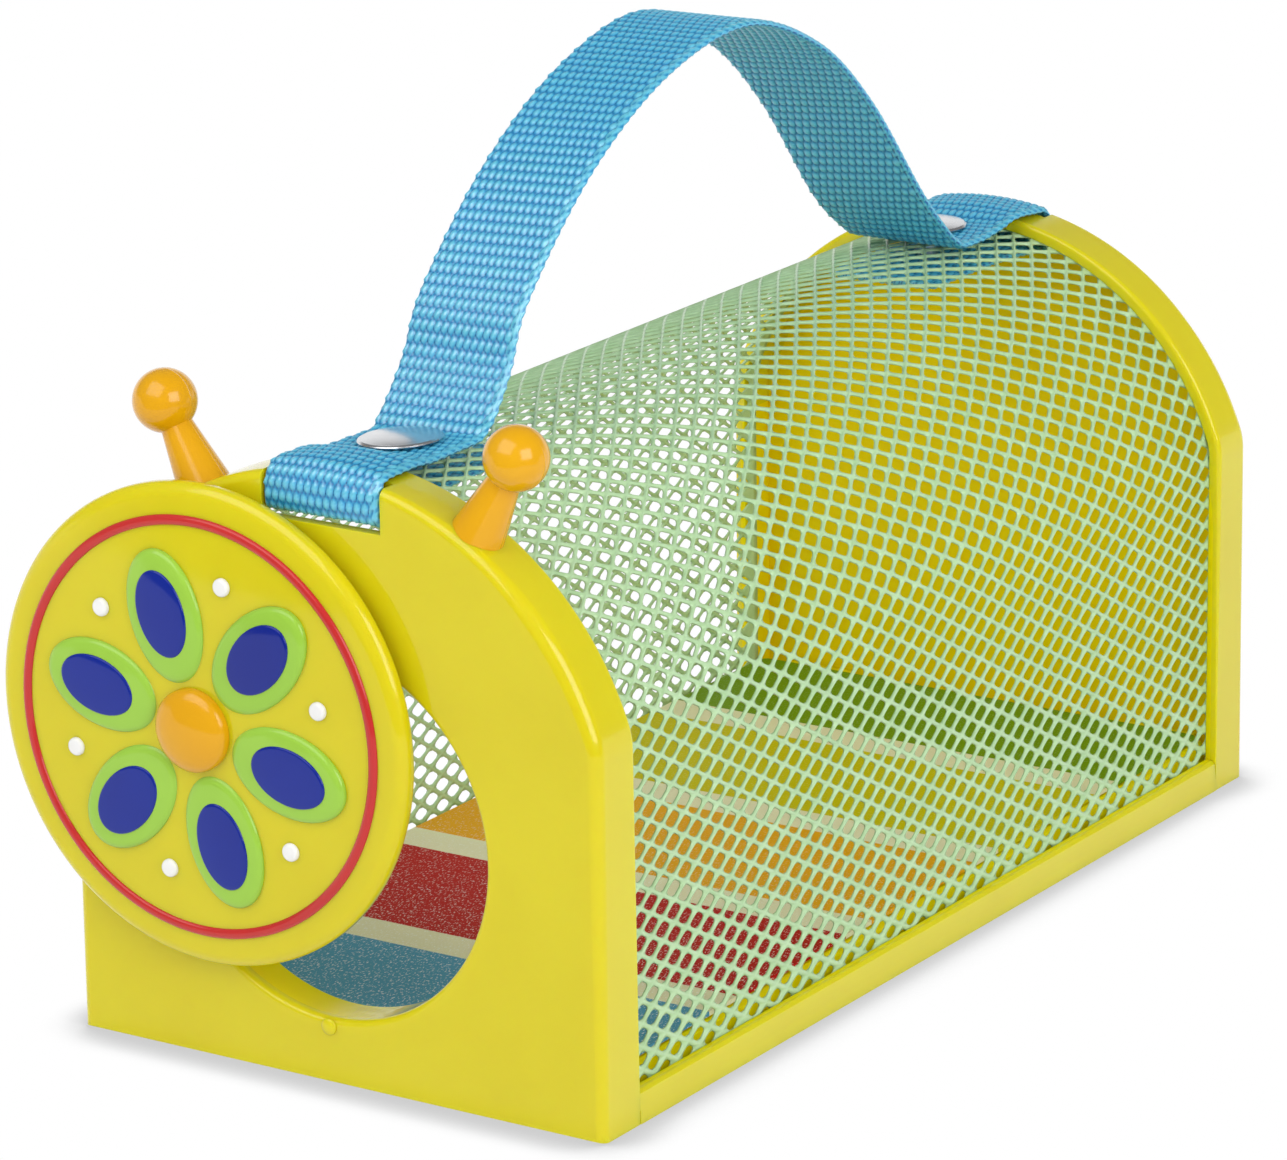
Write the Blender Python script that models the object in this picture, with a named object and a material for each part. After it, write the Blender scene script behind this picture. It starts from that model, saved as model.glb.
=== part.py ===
"""Carry-along bug house: two moulded end panels on a base tray, an arched
screen of expanded metal between them, a round swinging door, two feelers and
a webbing handle riveted through the screen.  Metres, +Z up, front towards -Y.
"""
import math

import bmesh
import bpy
from mathutils import Matrix, Vector

# Driving dimensions

WIDTH = 0.107            # across both sides of an end panel
LENGTH = 0.221           # front face of one panel to rear face of the other
PANEL_DEPTH = 0.0106     # rim of each end panel, front to back
PANEL_WALL = 0.0022      # flat wall of each end panel
RIM_WALL = 0.0020        # rim around that wall
FOOT_WALL = 0.0025       # bottom of the rim
EDGE_ROUND = 0.0032      # rounding of a panel's outer edge
ARCH_RADIUS = 0.0561     # arch of the panel's outline
ARCH_CENTRE_Z = 0.0501
ARCH_STEPS = 30
SPRING_ROUND = 0.0120    # where the arch meets the upright sides
SPRING_STEPS = 3

DOORWAY_RADIUS = 0.0323
DOORWAY_X = -0.0012      # doorway and door sit a little off the panel's middle
DOORWAY_Z = 0.0438
DOORWAY_LIP = 0.0012     # rounding of the doorway's front edge
COLLAR_DEPTH = 0.0080
COLLAR_WALL = 0.0020
DETENT_Z = 0.0100        # small nub that the closed door rides over
DETENT_RADIUS = 0.0013
DETENT_HEIGHT = 0.0017

NOTCH_HALF = 0.0119      # strap notch in the crown of each panel
NOTCH_FLOOR_Z = 0.0973
NOTCH_DEPTH = 0.0040     # behind it the rim stays, as the bar for the strap

RAIL_HEIGHT = 0.0060
RAIL_INNER = 0.0478
RAIL_STEP_Z = 0.0048     # rail's inner wall, under the deck
RAIL_EDGE = 0.0006       # bevel along the rail's outer edges
GROOVE_OUTER = 0.0515    # groove that takes the lower edge of the screen
GROOVE_INNER = 0.0496
GROOVE_FLOOR_Z = 0.0026
DECK_TOP_Z = 0.0084
DECK_THICK = 0.0022
DECK_SKIRT_Z = 0.0028    # lower edge of the deck's side walls
DECK_EDGE = 0.0008
DECK_START = 0.0084      # deck begins this far behind the outer face
RIB_HALF = 0.0020        # long rib below the deck
CROSS_RIB_HALF = 0.0015
CROSS_RIB_SPACING = 0.052
TONGUE_HALF = 0.0070     # screw tongues that reach into the end panels
TONGUE_FRONT = 0.0032
TONGUE_BACK = 0.0140
TONGUE_TOP_Z = 0.0079

INSERT_HALF = 0.0486
INSERT_THICK = 0.0008
INSERT_CORNER = 0.0020

SCREEN_GAP = 0.0023      # from the panel outline in to the screen's outer face
SCREEN_THICK = 0.0009
SCREEN_BEND = 0.0300     # outer radius of the bend between side and arch
SCREEN_END = 0.0077      # screen's edge, from the panel's outer face
SCREEN_LOW_Z = 0.0030
GRILLE_START = 0.01061   # first row of the diamond pattern
GRILLE_LOW_Z = 0.0062
CELLS_ALONG = 8          # diamonds along the length, in each row
CELLS_ROUND = 16         # diamonds round the arch, in each column
NODE_ALONG = 0.0040      # half size of the knot between four diamonds
NODE_ROUND = 0.0022

DOOR_RADIUS = 0.0417
DOOR_BACK = 0.0020       # back of the door, in front of the panel's face
DOOR_EDGE = 0.0032       # thickness near the rim
DOOR_ROUND = 0.0026      # how far in the rim's front is rounded
DOOR_CROWN = 0.0012      # rise of the domed front
PIVOT_Z = 0.0823
PIVOT_TO_CENTRE = 0.0306
DOOR_OPEN = math.radians(44.0)
PIVOT_SHANK = 0.0016
PIVOT_HOLE = 0.0021      # in the panel and the spacer
PIVOT_HEAD = 0.0034
SPACER_RADIUS = 0.0046
PETALS = 6
PETAL_REACH = 0.0195     # door's middle to a petal's middle
PETAL_SIZE = 0.0098
PETAL_WIDE = 0.76        # petal's width and length, as shares of its size
PETAL_LONG = 1.18
BLOOM_RADIUS = 0.0072    # domed middle of the flower
RING_RADIUS = 0.0356     # thin raised ring round the flower
RING_HALF = 0.0009

FEELER_ANGLE = math.radians(29.5)
FEELER_BALL = 0.0055
FEELER_BASE = 0.0046
FEELER_NECK = 0.0028
FEELER_LENGTH = 0.0153   # panel's crown to the middle of the ball
FEELER_FOOT = 0.0022     # how far the foot reaches down over the rounded edge
FEELER_PEG = 0.0020
FEELER_PEG_DEPTH = 0.0042

STRAP_WIDTH = 0.0232
STRAP_THICK = 0.0015
STRAP_TAIL = 0.0440      # how far each tail runs in under the screen
STRAP_TAIL_Z = 0.09995
STRAP_FLAT_Z = 0.1052    # at the rivets
STRAP_CROWN = 0.0012     # rise of the band's middle where it crosses the rim
LOOP_FRONT = 0.0001      # loop round the rim, from the outer face
LOOP_LOW_Z = 0.0986
LOOP_TOP_Z = 0.1072
LOOP_LOW_ROUND = 0.0020
LOOP_TOP_ROUND = 0.0042
FRONT_RIVET = (0.0, 0.0231)      # across, and from the panel's outer face
REAR_RIVET = (-0.0012, 0.0251)
FRONT_ROLL = 0.06        # slope across the band at the front rivet
RIVET_HEAD = 0.0073
RIVET_POST = 0.0020
WASHER_RADIUS = 0.0055
WASHER_THICK = 0.0010

SCREW_X = 0.0380         # base screws, from the middle and from each end
SCREW_FROM_END = 0.0066
SCREW_HEAD = 0.0028
SCREW_SHANK = 0.0013
SCREW_LENGTH = 0.0070

GAP = 0.0003             # clearance between pieces that sit against each other
MM = 0.001
FRONT = -LENGTH / 2.0
REAR = LENGTH / 2.0

for old in list(bpy.data.objects):
    bpy.data.objects.remove(old, do_unlink=True)


# Small tools

def material(name, colour, roughness, metallic=0.0):
    made = bpy.data.materials.new(name)
    made.use_nodes = True
    shader = made.node_tree.nodes["Principled BSDF"]
    shader.inputs["Base Color"].default_value = (*colour, 1.0)
    shader.inputs["Roughness"].default_value = roughness
    shader.inputs["Metallic"].default_value = metallic
    made.diffuse_color = (*colour, 1.0)
    return made


def add_object(name, bm, look, smooth=35.0):
    bmesh.ops.recalc_face_normals(bm, faces=bm.faces)
    mesh = bpy.data.meshes.new(name)
    bm.to_mesh(mesh)
    bm.free()
    if smooth:
        mesh.shade_smooth()
        mesh.set_sharp_from_angle(angle=math.radians(smooth))
    made = bpy.data.objects.new(name, mesh)
    bpy.context.scene.collection.objects.link(made)
    if look:
        made.data.materials.append(look)
    return made


def add_tool(name, bm):
    tool = add_object(name, bm, None, smooth=0)
    tool.hide_render = True
    tool.display_type = 'WIRE'
    return tool


def combine(target, tool, how):
    step = target.modifiers.new(how.lower() + "_" + tool.name, 'BOOLEAN')
    step.operation = how
    step.object = tool
    step.solver = 'EXACT'


def extrude_outline(bm, outline, axis_low, axis_high, to_point):
    """Closed prism of a flat outline, run from one depth to another."""
    low = [bm.verts.new(to_point(a, b, axis_low)) for a, b in outline]
    high = [bm.verts.new(to_point(a, b, axis_high)) for a, b in outline]
    bm.faces.new(low)
    bm.faces.new(list(reversed(high)))
    count = len(outline)
    for i in range(count):
        k = (i + 1) % count
        bm.faces.new((low[k], low[i], high[i], high[k]))


def along_y(a, b, depth):
    return Vector((a, depth, b))


def box(bm, low, high):
    outline = [(low[0], low[2]), (high[0], low[2]),
               (high[0], high[2]), (low[0], high[2])]
    extrude_outline(bm, outline, low[1], high[1], along_y)


def turn(bm, profile, steps, place):
    """Solid of revolution: profile is (radius, height), closed on the axis."""
    rings = []
    for radius, height in profile:
        if radius < 1e-7:
            rings.append([bm.verts.new(place @ Vector((0, 0, height)))])
            continue
        ring = []
        for i in range(steps):
            angle = math.tau * i / steps
            spot = Vector((radius * math.cos(angle),
                           radius * math.sin(angle), height))
            ring.append(bm.verts.new(place @ spot))
        rings.append(ring)
    for lower, upper in zip(rings, rings[1:]):
        for i in range(steps):
            k = (i + 1) % steps
            if len(lower) == 1:
                bm.faces.new((lower[0], upper[i], upper[k]))
            elif len(upper) == 1:
                bm.faces.new((lower[k], lower[i], upper[0]))
            else:
                bm.faces.new((lower[k], lower[i], upper[i], upper[k]))


def ring_solid(bm, inner, outer, low, high, steps, place):
    """Flat ring with square edges, such as a washer."""
    corners = [(inner, low), (outer, low), (outer, high), (inner, high)]
    loops = []
    for radius, height in corners:
        loop = []
        for i in range(steps):
            angle = math.tau * i / steps
            spot = Vector((radius * math.cos(angle),
                           radius * math.sin(angle), height))
            loop.append(bm.verts.new(place @ spot))
        loops.append(loop)
    for n in range(4):
        a = loops[n]
        b = loops[(n + 1) % 4]
        for i in range(steps):
            k = (i + 1) % steps
            bm.faces.new((a[i], a[k], b[k], b[i]))


def at(x, y, z):
    return Matrix.Translation((x, y, z))


FACE_FRONT = Matrix.Rotation(math.radians(90), 4, 'X')   # local +Z to -Y


YELLOW = material("yellow_gloss_plastic", (0.72, 0.64, 0.03), 0.22)
ORANGE = material("orange_gloss_plastic", (0.95, 0.38, 0.02), 0.20)
GREEN = material("pale_green_coated_metal", (0.45, 0.72, 0.40), 0.35)
BLUE = material("blue_webbing", (0.05, 0.30, 0.66), 0.80)
STEEL = material("bright_steel", (0.75, 0.76, 0.78), 0.25, 1.0)
STRIPES = material("striped_floor_sheet", (0.62, 0.42, 0.20), 0.45)


# End panels

def panel_outline(inset, floor_z):
    """Upright sides that bend into a broad arch, drawn in by inset."""
    side = WIDTH / 2 - SPRING_ROUND
    rise = math.sqrt((ARCH_RADIUS - SPRING_ROUND) ** 2 - side ** 2)
    spring = math.atan2(rise, side)
    half = WIDTH / 2 - inset
    points = [(-half, floor_z), (half, floor_z)]
    for i in range(SPRING_STEPS):
        angle = spring * i / SPRING_STEPS
        points.append((side + (SPRING_ROUND - inset) * math.cos(angle),
                       ARCH_CENTRE_Z + rise + (SPRING_ROUND - inset) * math.sin(angle)))
    radius = ARCH_RADIUS - inset
    for i in range(ARCH_STEPS + 1):
        angle = spring + (math.pi - 2 * spring) * i / ARCH_STEPS
        points.append((radius * math.cos(angle), ARCH_CENTRE_Z + radius * math.sin(angle)))
    return points + [(-x, z) for x, z in reversed(points[2:2 + SPRING_STEPS])]


def rounded_rings(grow):
    """Outlines and depths over a panel's rounded edge, all moved out by grow."""
    rings = []
    round_steps = 3
    reach = EDGE_ROUND + grow
    for i in range(round_steps + 1):
        angle = math.pi / 2 * i / round_steps
        inset = EDGE_ROUND - reach * math.sin(angle)
        rings.append((panel_outline(inset, inset * 0.5), EDGE_ROUND - reach * math.cos(angle)))
    rings.append((panel_outline(-grow, -grow), PANEL_DEPTH + grow))
    return rings


def skin(face_y, inward, rings):
    """Closed body through outlines set at depths behind a panel's outer face."""
    bm = bmesh.new()
    loops = []
    for outline, depth in rings:
        y = face_y + inward * depth
        loops.append([bm.verts.new((x, y, z)) for x, z in outline])
    for a, b in zip(loops, loops[1:]):
        for i in range(len(a)):
            k = (i + 1) % len(a)
            bm.faces.new((a[i], a[k], b[k], b[i]))
    bm.faces.new(loops[0])
    bm.faces.new(loops[-1])
    return bm


def panel_shell(face_y, inward):
    """Open cap: flat wall at face_y, rim running inward, rounded edge."""
    rings = rounded_rings(0)
    rings.append((panel_outline(RIM_WALL, FOOT_WALL), PANEL_DEPTH))
    rings.append((panel_outline(RIM_WALL, FOOT_WALL), PANEL_WALL))
    return skin(face_y, inward, rings)


def notch_and_screw_cuts(bm, face_y, inward):
    low, high = sorted((face_y - inward * 0.001, face_y + inward * NOTCH_DEPTH))
    box(bm, (-NOTCH_HALF, low, NOTCH_FLOOR_Z), (NOTCH_HALF, high, ARCH_CENTRE_Z + 0.065))
    y = face_y + inward * SCREW_FROM_END
    for side in (-1, 1):
        wide = SCREW_HEAD + 0.0012
        bore = SCREW_SHANK + 0.0005
        turn(bm, [(0, -0.0005), (wide, -0.0005), (bore, 0.0019), (bore, 0.0035), (0, 0.0035)],
             20, at(side * SCREW_X, y, 0))


DOORWAY = at(DOORWAY_X, FRONT, DOORWAY_Z) @ FACE_FRONT
PIVOT = at(DOORWAY_X, FRONT, PIVOT_Z) @ FACE_FRONT

front_panel = add_object("front_panel", panel_shell(FRONT, 1), YELLOW)
extra = bmesh.new()
turn(extra, [(0, -COLLAR_DEPTH), (DOORWAY_RADIUS + COLLAR_WALL, -COLLAR_DEPTH),
             (DOORWAY_RADIUS + COLLAR_WALL, -0.0010), (0, -0.0010)],
     56, DOORWAY)
combine(front_panel, add_tool("doorway_collar", extra), 'UNION')

cut = bmesh.new()
past = COLLAR_DEPTH + 0.0015
doorway = [(0, -past), (DOORWAY_RADIUS, -past)]
for i in range(4):
    angle = math.pi / 2 * i / 3
    doorway.append((DOORWAY_RADIUS + DOORWAY_LIP * (1 - math.cos(angle)),
                    -DOORWAY_LIP * (1 - math.sin(angle))))
doorway += [(DOORWAY_RADIUS + DOORWAY_LIP, 0.0010), (0, 0.0010)]
turn(cut, doorway, 56, DOORWAY)
notch_and_screw_cuts(cut, FRONT, 1)
turn(cut, [(0, -0.004), (PIVOT_HOLE, -0.004), (PIVOT_HOLE, 0.001), (0, 0.001)], 20, PIVOT)
for side in (-1, 1):
    lean = Matrix.Rotation(side * FEELER_ANGLE, 4, 'Y')
    low, high = ARCH_RADIUS - 0.005, ARCH_RADIUS + 0.002
    turn(cut, [(0, low), (FEELER_PEG + GAP, low), (FEELER_PEG + GAP, high), (0, high)],
         20, at(0, FRONT + PANEL_DEPTH / 2, ARCH_CENTRE_Z) @ lean)
combine(front_panel, add_tool("front_panel_cuts", cut), 'DIFFERENCE')

extra = bmesh.new()
turn(extra, [(0, -0.0010), (DETENT_RADIUS, -0.0010), (DETENT_RADIUS, DETENT_HEIGHT * 0.5),
             (DETENT_RADIUS * 0.7, DETENT_HEIGHT * 0.9), (0, DETENT_HEIGHT)],
     14, at(DOORWAY_X, FRONT, DETENT_Z) @ FACE_FRONT)
combine(front_panel, add_tool("doorway_detent", extra), 'UNION')

rear_panel = add_object("rear_panel", panel_shell(REAR, -1), YELLOW)
cut = bmesh.new()
notch_and_screw_cuts(cut, REAR, -1)
combine(rear_panel, add_tool("rear_panel_cuts", cut), 'DIFFERENCE')


# Base tray: raised deck, a grooved rail on each side, ribs below

half = WIDTH / 2
wall = GROOVE_INNER - 0.0020
deck_low_z = DECK_TOP_Z - DECK_THICK
right_side = [(wall, deck_low_z), (wall, DECK_SKIRT_Z), (GROOVE_INNER, DECK_SKIRT_Z),
              (GROOVE_INNER, DECK_TOP_Z - DECK_EDGE), (GROOVE_INNER - DECK_EDGE, DECK_TOP_Z)]
deck = right_side + [(-x, z) for x, z in reversed(right_side)]
bm = bmesh.new()
extrude_outline(bm, deck, FRONT + DECK_START, REAR - DECK_START, along_y)
base_tray = add_object("base_tray", bm, YELLOW)

extra = bmesh.new()
rail_end = PANEL_DEPTH + GAP
for side in (-1, 1):
    rail = [(RAIL_INNER, 0), (half - RAIL_EDGE, 0), (half, RAIL_EDGE),
            (half, RAIL_HEIGHT - RAIL_EDGE), (half - RAIL_EDGE, RAIL_HEIGHT),
            (GROOVE_OUTER, RAIL_HEIGHT), (GROOVE_OUTER, GROOVE_FLOOR_Z),
            (GROOVE_INNER - 0.0002, GROOVE_FLOOR_Z), (GROOVE_INNER - 0.0002, RAIL_STEP_Z),
            (RAIL_INNER, RAIL_STEP_Z)]
    extrude_outline(extra, [(side * x, z) for x, z in rail],
                    FRONT + rail_end, REAR - rail_end, along_y)
combine(base_tray, add_tool("tray_rails", extra), 'UNION')

extra = bmesh.new()
rib_top = deck_low_z + 0.0005
rib_end = PANEL_DEPTH + 0.0014
box(extra, (-RIB_HALF, FRONT + rib_end, 0), (RIB_HALF, REAR - rib_end, rib_top))
combine(base_tray, add_tool("tray_long_rib", extra), 'UNION')
extra = bmesh.new()
for y in (-CROSS_RIB_SPACING, 0, CROSS_RIB_SPACING):
    box(extra, (-GROOVE_INNER + 0.0010, y - CROSS_RIB_HALF, 0.00002),
        (GROOVE_INNER - 0.0010, y + CROSS_RIB_HALF, rib_top + 0.0002))
combine(base_tray, add_tool("tray_cross_ribs", extra), 'UNION')

extra = bmesh.new()
cut = bmesh.new()
for end, inward in ((FRONT, 1), (REAR, -1)):
    for side in (-1, 1):
        xs = sorted((side * (SCREW_X - TONGUE_HALF), side * (SCREW_X + TONGUE_HALF)))
        ys = sorted((end + inward * TONGUE_FRONT, end + inward * TONGUE_BACK))
        box(extra, (xs[0], ys[0], FOOT_WALL + GAP), (xs[1], ys[1], TONGUE_TOP_Z))
        bore = SCREW_SHANK + GAP
        deep = SCREW_LENGTH + GAP
        turn(cut, [(0, 0.0015), (bore, 0.0015), (bore, deep), (0, deep)],
             16, at(side * SCREW_X, end + inward * SCREW_FROM_END, 0))
combine(base_tray, add_tool("tray_screw_tongues", extra), 'UNION')
combine(base_tray, add_tool("tray_screw_holes", cut), 'DIFFERENCE')

bm = bmesh.new()
sheet = []
insert_end = LENGTH / 2 - DECK_START - 0.0004
for sx, sy, start in ((1, -1, -90), (1, 1, 0), (-1, 1, 90), (-1, -1, 180)):
    for i in range(5):
        angle = math.radians(start + 22.5 * i)
        sheet.append((sx * (INSERT_HALF - INSERT_CORNER) + INSERT_CORNER * math.cos(angle),
                      sy * (insert_end - INSERT_CORNER) + INSERT_CORNER * math.sin(angle)))
low_z = DECK_TOP_Z + GAP
extrude_outline(bm, sheet, low_z, low_z + INSERT_THICK, lambda a, b, z: Vector((a, b, z)))
floor_insert = add_object("floor_insert", bm, STRIPES)

for number, (side, end, inward) in enumerate(((-1, FRONT, 1), (1, FRONT, 1),
                                              (-1, REAR, -1), (1, REAR, -1)), 1):
    bm = bmesh.new()
    turn(bm, [(0, GAP), (SCREW_HEAD, GAP), (SCREW_HEAD, 0.0005), (SCREW_SHANK, 0.0019),
              (SCREW_SHANK, SCREW_LENGTH - 0.0010), (0.0004, SCREW_LENGTH), (0, SCREW_LENGTH)], 10,
         at(side * SCREW_X, end + inward * SCREW_FROM_END, 0))
    add_object("base_screw_%d" % number, bm, STEEL)


# Screen: one arched sheet of expanded metal

screen_inset = SCREEN_GAP + SCREEN_THICK / 2
bend_x = WIDTH / 2 - SCREEN_GAP - SCREEN_BEND
bend_rise = math.sqrt((ARCH_RADIUS - SCREEN_GAP - SCREEN_BEND) ** 2 - bend_x ** 2)
bend_angle = math.atan2(bend_rise, bend_x)
bend_radius = SCREEN_BEND - SCREEN_THICK / 2
arch_radius = ARCH_RADIUS - screen_inset
upright = ARCH_CENTRE_Z + bend_rise - SCREEN_LOW_Z
quarter = upright + bend_radius * bend_angle + arch_radius * (math.pi / 2 - bend_angle)


def screen_profile(s, offset):
    """Point on the arch at path length s from one lower edge, moved out by offset."""
    if s > quarter:
        x, z = screen_profile(2 * quarter - s, offset)
        return -x, z
    if s <= upright:
        return WIDTH / 2 - screen_inset + offset, SCREEN_LOW_Z + s
    angle = (s - upright) / bend_radius
    if angle <= bend_angle:
        return (bend_x + (bend_radius + offset) * math.cos(angle),
                ARCH_CENTRE_Z + bend_rise + (bend_radius + offset) * math.sin(angle))
    angle = math.pi / 2 - (quarter - s) / arch_radius
    return ((arch_radius + offset) * math.cos(angle),
            ARCH_CENTRE_Z + (arch_radius + offset) * math.sin(angle))


def diamond_sheet(flat_face):
    """Faces of the flat pattern: a knot where strands cross, four strands a
    diamond, and a plain strip along each of the sheet's edges."""
    s_end = 2 * quarter
    s_low = GRILLE_LOW_Z - SCREEN_LOW_Z
    half_s = (s_end - 2 * s_low) / (2 * CELLS_ROUND)
    y_low = FRONT + GRILLE_START
    half_y = (LENGTH - 2 * GRILLE_START) / (2 * CELLS_ALONG)
    last_i = 2 * CELLS_ALONG
    last_j = 2 * CELLS_ROUND
    edge_y = (FRONT + SCREEN_END, REAR - SCREEN_END)
    edge_s = (0.0, s_end)

    def knot(i, j):
        y = y_low + i * half_y
        s = s_low + j * half_s
        east = (min(y + NODE_ALONG, y_low + last_i * half_y), s)
        west = (max(y - NODE_ALONG, y_low), s)
        north = (y, min(s + NODE_ROUND, s_low + last_j * half_s))
        south = (y, max(s - NODE_ROUND, s_low))
        return east, north, west, south

    for i in range(last_i + 1):
        for j in range(last_j + 1):
            if (i + j) % 2:
                continue
            east, north, west, south = knot(i, j)
            inside = [east, north, west, south]
            if 0 < j < last_j and i in (0, last_i):
                inside.remove(west if i == 0 else east)
            if 0 < i < last_i and j in (0, last_j):
                inside.remove(south if j == 0 else north)
            flat_face([p for n, p in enumerate(inside) if p not in inside[:n]])
            if i < last_i and j < last_j:
                e2, n2, w2, s2 = knot(i + 1, j + 1)
                flat_face([east, s2, w2, north])
            if i < last_i and j > 0:
                e2, n2, w2, s2 = knot(i + 1, j - 1)
                flat_face([east, south, w2, n2])
    for i, outer in ((0, edge_y[0]), (last_i, edge_y[1])):
        y = y_low + i * half_y
        marks = sorted({p[1] for j in range(0, last_j + 1, 2)
                        for p in (knot(i, j)[1], knot(i, j)[3])} | {s_low, s_low + last_j * half_s})
        marks = [edge_s[0]] + marks + [edge_s[1]]
        for a, b in zip(marks, marks[1:]):
            flat_face([(outer, a), (y, a), (y, b), (outer, b)])
    for j, outer in ((0, edge_s[0]), (last_j, edge_s[1])):
        s = s_low + j * half_s
        marks = sorted({p[0] for i in range(0, last_i + 1, 2)
                        for p in (knot(i, j)[0], knot(i, j)[2])} | {y_low, y_low + last_i * half_y})
        for a, b in zip(marks, marks[1:]):
            flat_face([(a, outer), (b, outer), (b, s), (a, s)])


bm = bmesh.new()
corner = {}


def screen_corner(spot, side):
    key = (round(spot[0], 7), round(spot[1], 7), side)
    if key not in corner:
        x, z = screen_profile(key[1], side * SCREEN_THICK / 2)
        corner[key] = bm.verts.new((x, key[0], z))
    return corner[key]


edges_used = {}


def sheet_face(points):
    if len(points) < 3:
        return
    area = sum(a[0] * b[1] - b[0] * a[1] for a, b in zip(points, points[1:] + points[:1]))
    if area < 0:
        points = list(reversed(points))
    bm.faces.new([screen_corner(p, 1) for p in points])
    bm.faces.new([screen_corner(p, -1) for p in reversed(points)])
    rounded = [(round(p[0], 7), round(p[1], 7)) for p in points]
    for a, b in zip(rounded, rounded[1:] + rounded[:1]):
        edges_used[(a, b)] = True


diamond_sheet(sheet_face)
for a, b in list(edges_used):
    if (b, a) not in edges_used:
        bm.faces.new((screen_corner(b, 1), screen_corner(a, 1),
                      screen_corner(a, -1), screen_corner(b, -1)))
mesh_screen = add_object("mesh_screen", bm, GREEN, smooth=0)


# Door, turning on a screw above the doorway

pivot = bpy.data.objects.new("door_pivot", None)
bpy.context.scene.collection.objects.link(pivot)
pivot.location = (DOORWAY_X, FRONT, PIVOT_Z)
pivot.rotation_euler = (0, DOOR_OPEN, 0)


def door_front(radius):
    """Height of the domed front at a distance from the door's middle."""
    inner = DOOR_RADIUS - DOOR_ROUND
    return DOOR_BACK + DOOR_EDGE + DOOR_CROWN * (1 - (min(radius, inner) / inner) ** 2)


middle = at(0, 0, -PIVOT_TO_CENTRE) @ FACE_FRONT
edge_low = 0.0014        # straight part of the rim
profile = [(0, DOOR_BACK), (DOOR_RADIUS - 0.0006, DOOR_BACK), (DOOR_RADIUS, DOOR_BACK + 0.0006),
           (DOOR_RADIUS, DOOR_BACK + edge_low)]
for i in range(1, 5):
    angle = math.pi / 2 * i / 4
    profile.append((DOOR_RADIUS - DOOR_ROUND * (1 - math.cos(angle)),
                    DOOR_BACK + edge_low + (DOOR_EDGE - edge_low) * math.sin(angle)))
for share in (0.7, 0.4):
    radius = (DOOR_RADIUS - DOOR_ROUND) * share
    profile.append((radius, door_front(radius)))
profile.append((0, door_front(0)))
bm = bmesh.new()
turn(bm, profile, 44, middle)
door = add_object("door", bm, YELLOW)
door.parent = pivot

extra = bmesh.new()
for i in range(PETALS):
    spin = Matrix.Rotation(math.tau * i / PETALS, 4, 'Z')
    seat = door_front(PETAL_REACH)
    stretch = Matrix.Diagonal((PETAL_WIDE, PETAL_LONG, 1, 1))
    petal = middle @ spin @ at(0, PETAL_REACH, seat - 0.0006) @ stretch
    turn(extra, [(0, -0.0008), (PETAL_SIZE, -0.0008), (PETAL_SIZE, 0.0005),
                 (PETAL_SIZE * 0.82, 0.0014), (0, 0.0021)], 14, petal)
petals = add_tool("door_petals", extra)
petals.parent = pivot
combine(door, petals, 'UNION')
extra = bmesh.new()
turn(extra, [(0, -0.0010), (BLOOM_RADIUS, -0.0010), (BLOOM_RADIUS, 0.0010),
             (BLOOM_RADIUS * 0.75, 0.0026), (0, 0.0034)], 16, middle @ at(0, 0, door_front(0)))
bloom = add_tool("door_bloom_centre", extra)
bloom.parent = pivot
combine(door, bloom, 'UNION')
extra = bmesh.new()
ring_seat = door_front(RING_RADIUS)
ring_solid(extra, RING_RADIUS - RING_HALF, RING_RADIUS + RING_HALF,
           ring_seat - 0.0006, ring_seat + 0.0006, 32, middle)
ring = add_tool("door_ring", extra)
ring.parent = pivot
combine(door, ring, 'UNION')
cut = bmesh.new()
boss = PIVOT_SHANK + GAP
turn(cut, [(0, 0.0010), (boss, 0.0010), (boss, 0.0048), (0, 0.0048)], 20, FACE_FRONT)
bore = add_tool("door_screw_hole", cut)
bore.parent = pivot
combine(door, bore, 'DIFFERENCE')

bm = bmesh.new()
head_low = PANEL_WALL + GAP
turn(bm, [(0, -head_low - 0.0018), (PIVOT_HEAD - 0.0005, -head_low - 0.0018),
          (PIVOT_HEAD, -head_low - 0.0012), (PIVOT_HEAD, -head_low), (PIVOT_SHANK, -head_low),
          (PIVOT_SHANK, 0.0041), (PIVOT_SHANK * 0.5, 0.0046), (0, 0.0046)], 14, FACE_FRONT)
screw = add_object("door_pivot_screw", bm, STEEL)
screw.parent = pivot
bm = bmesh.new()
ring_solid(bm, PIVOT_HOLE, SPACER_RADIUS, GAP, DOOR_BACK - GAP, 18, PIVOT)
add_object("door_pivot_spacer", bm, YELLOW)


# Feelers: a ball on a cone whose foot follows the panel's rounded crown, pegged
# through the rim

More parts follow.
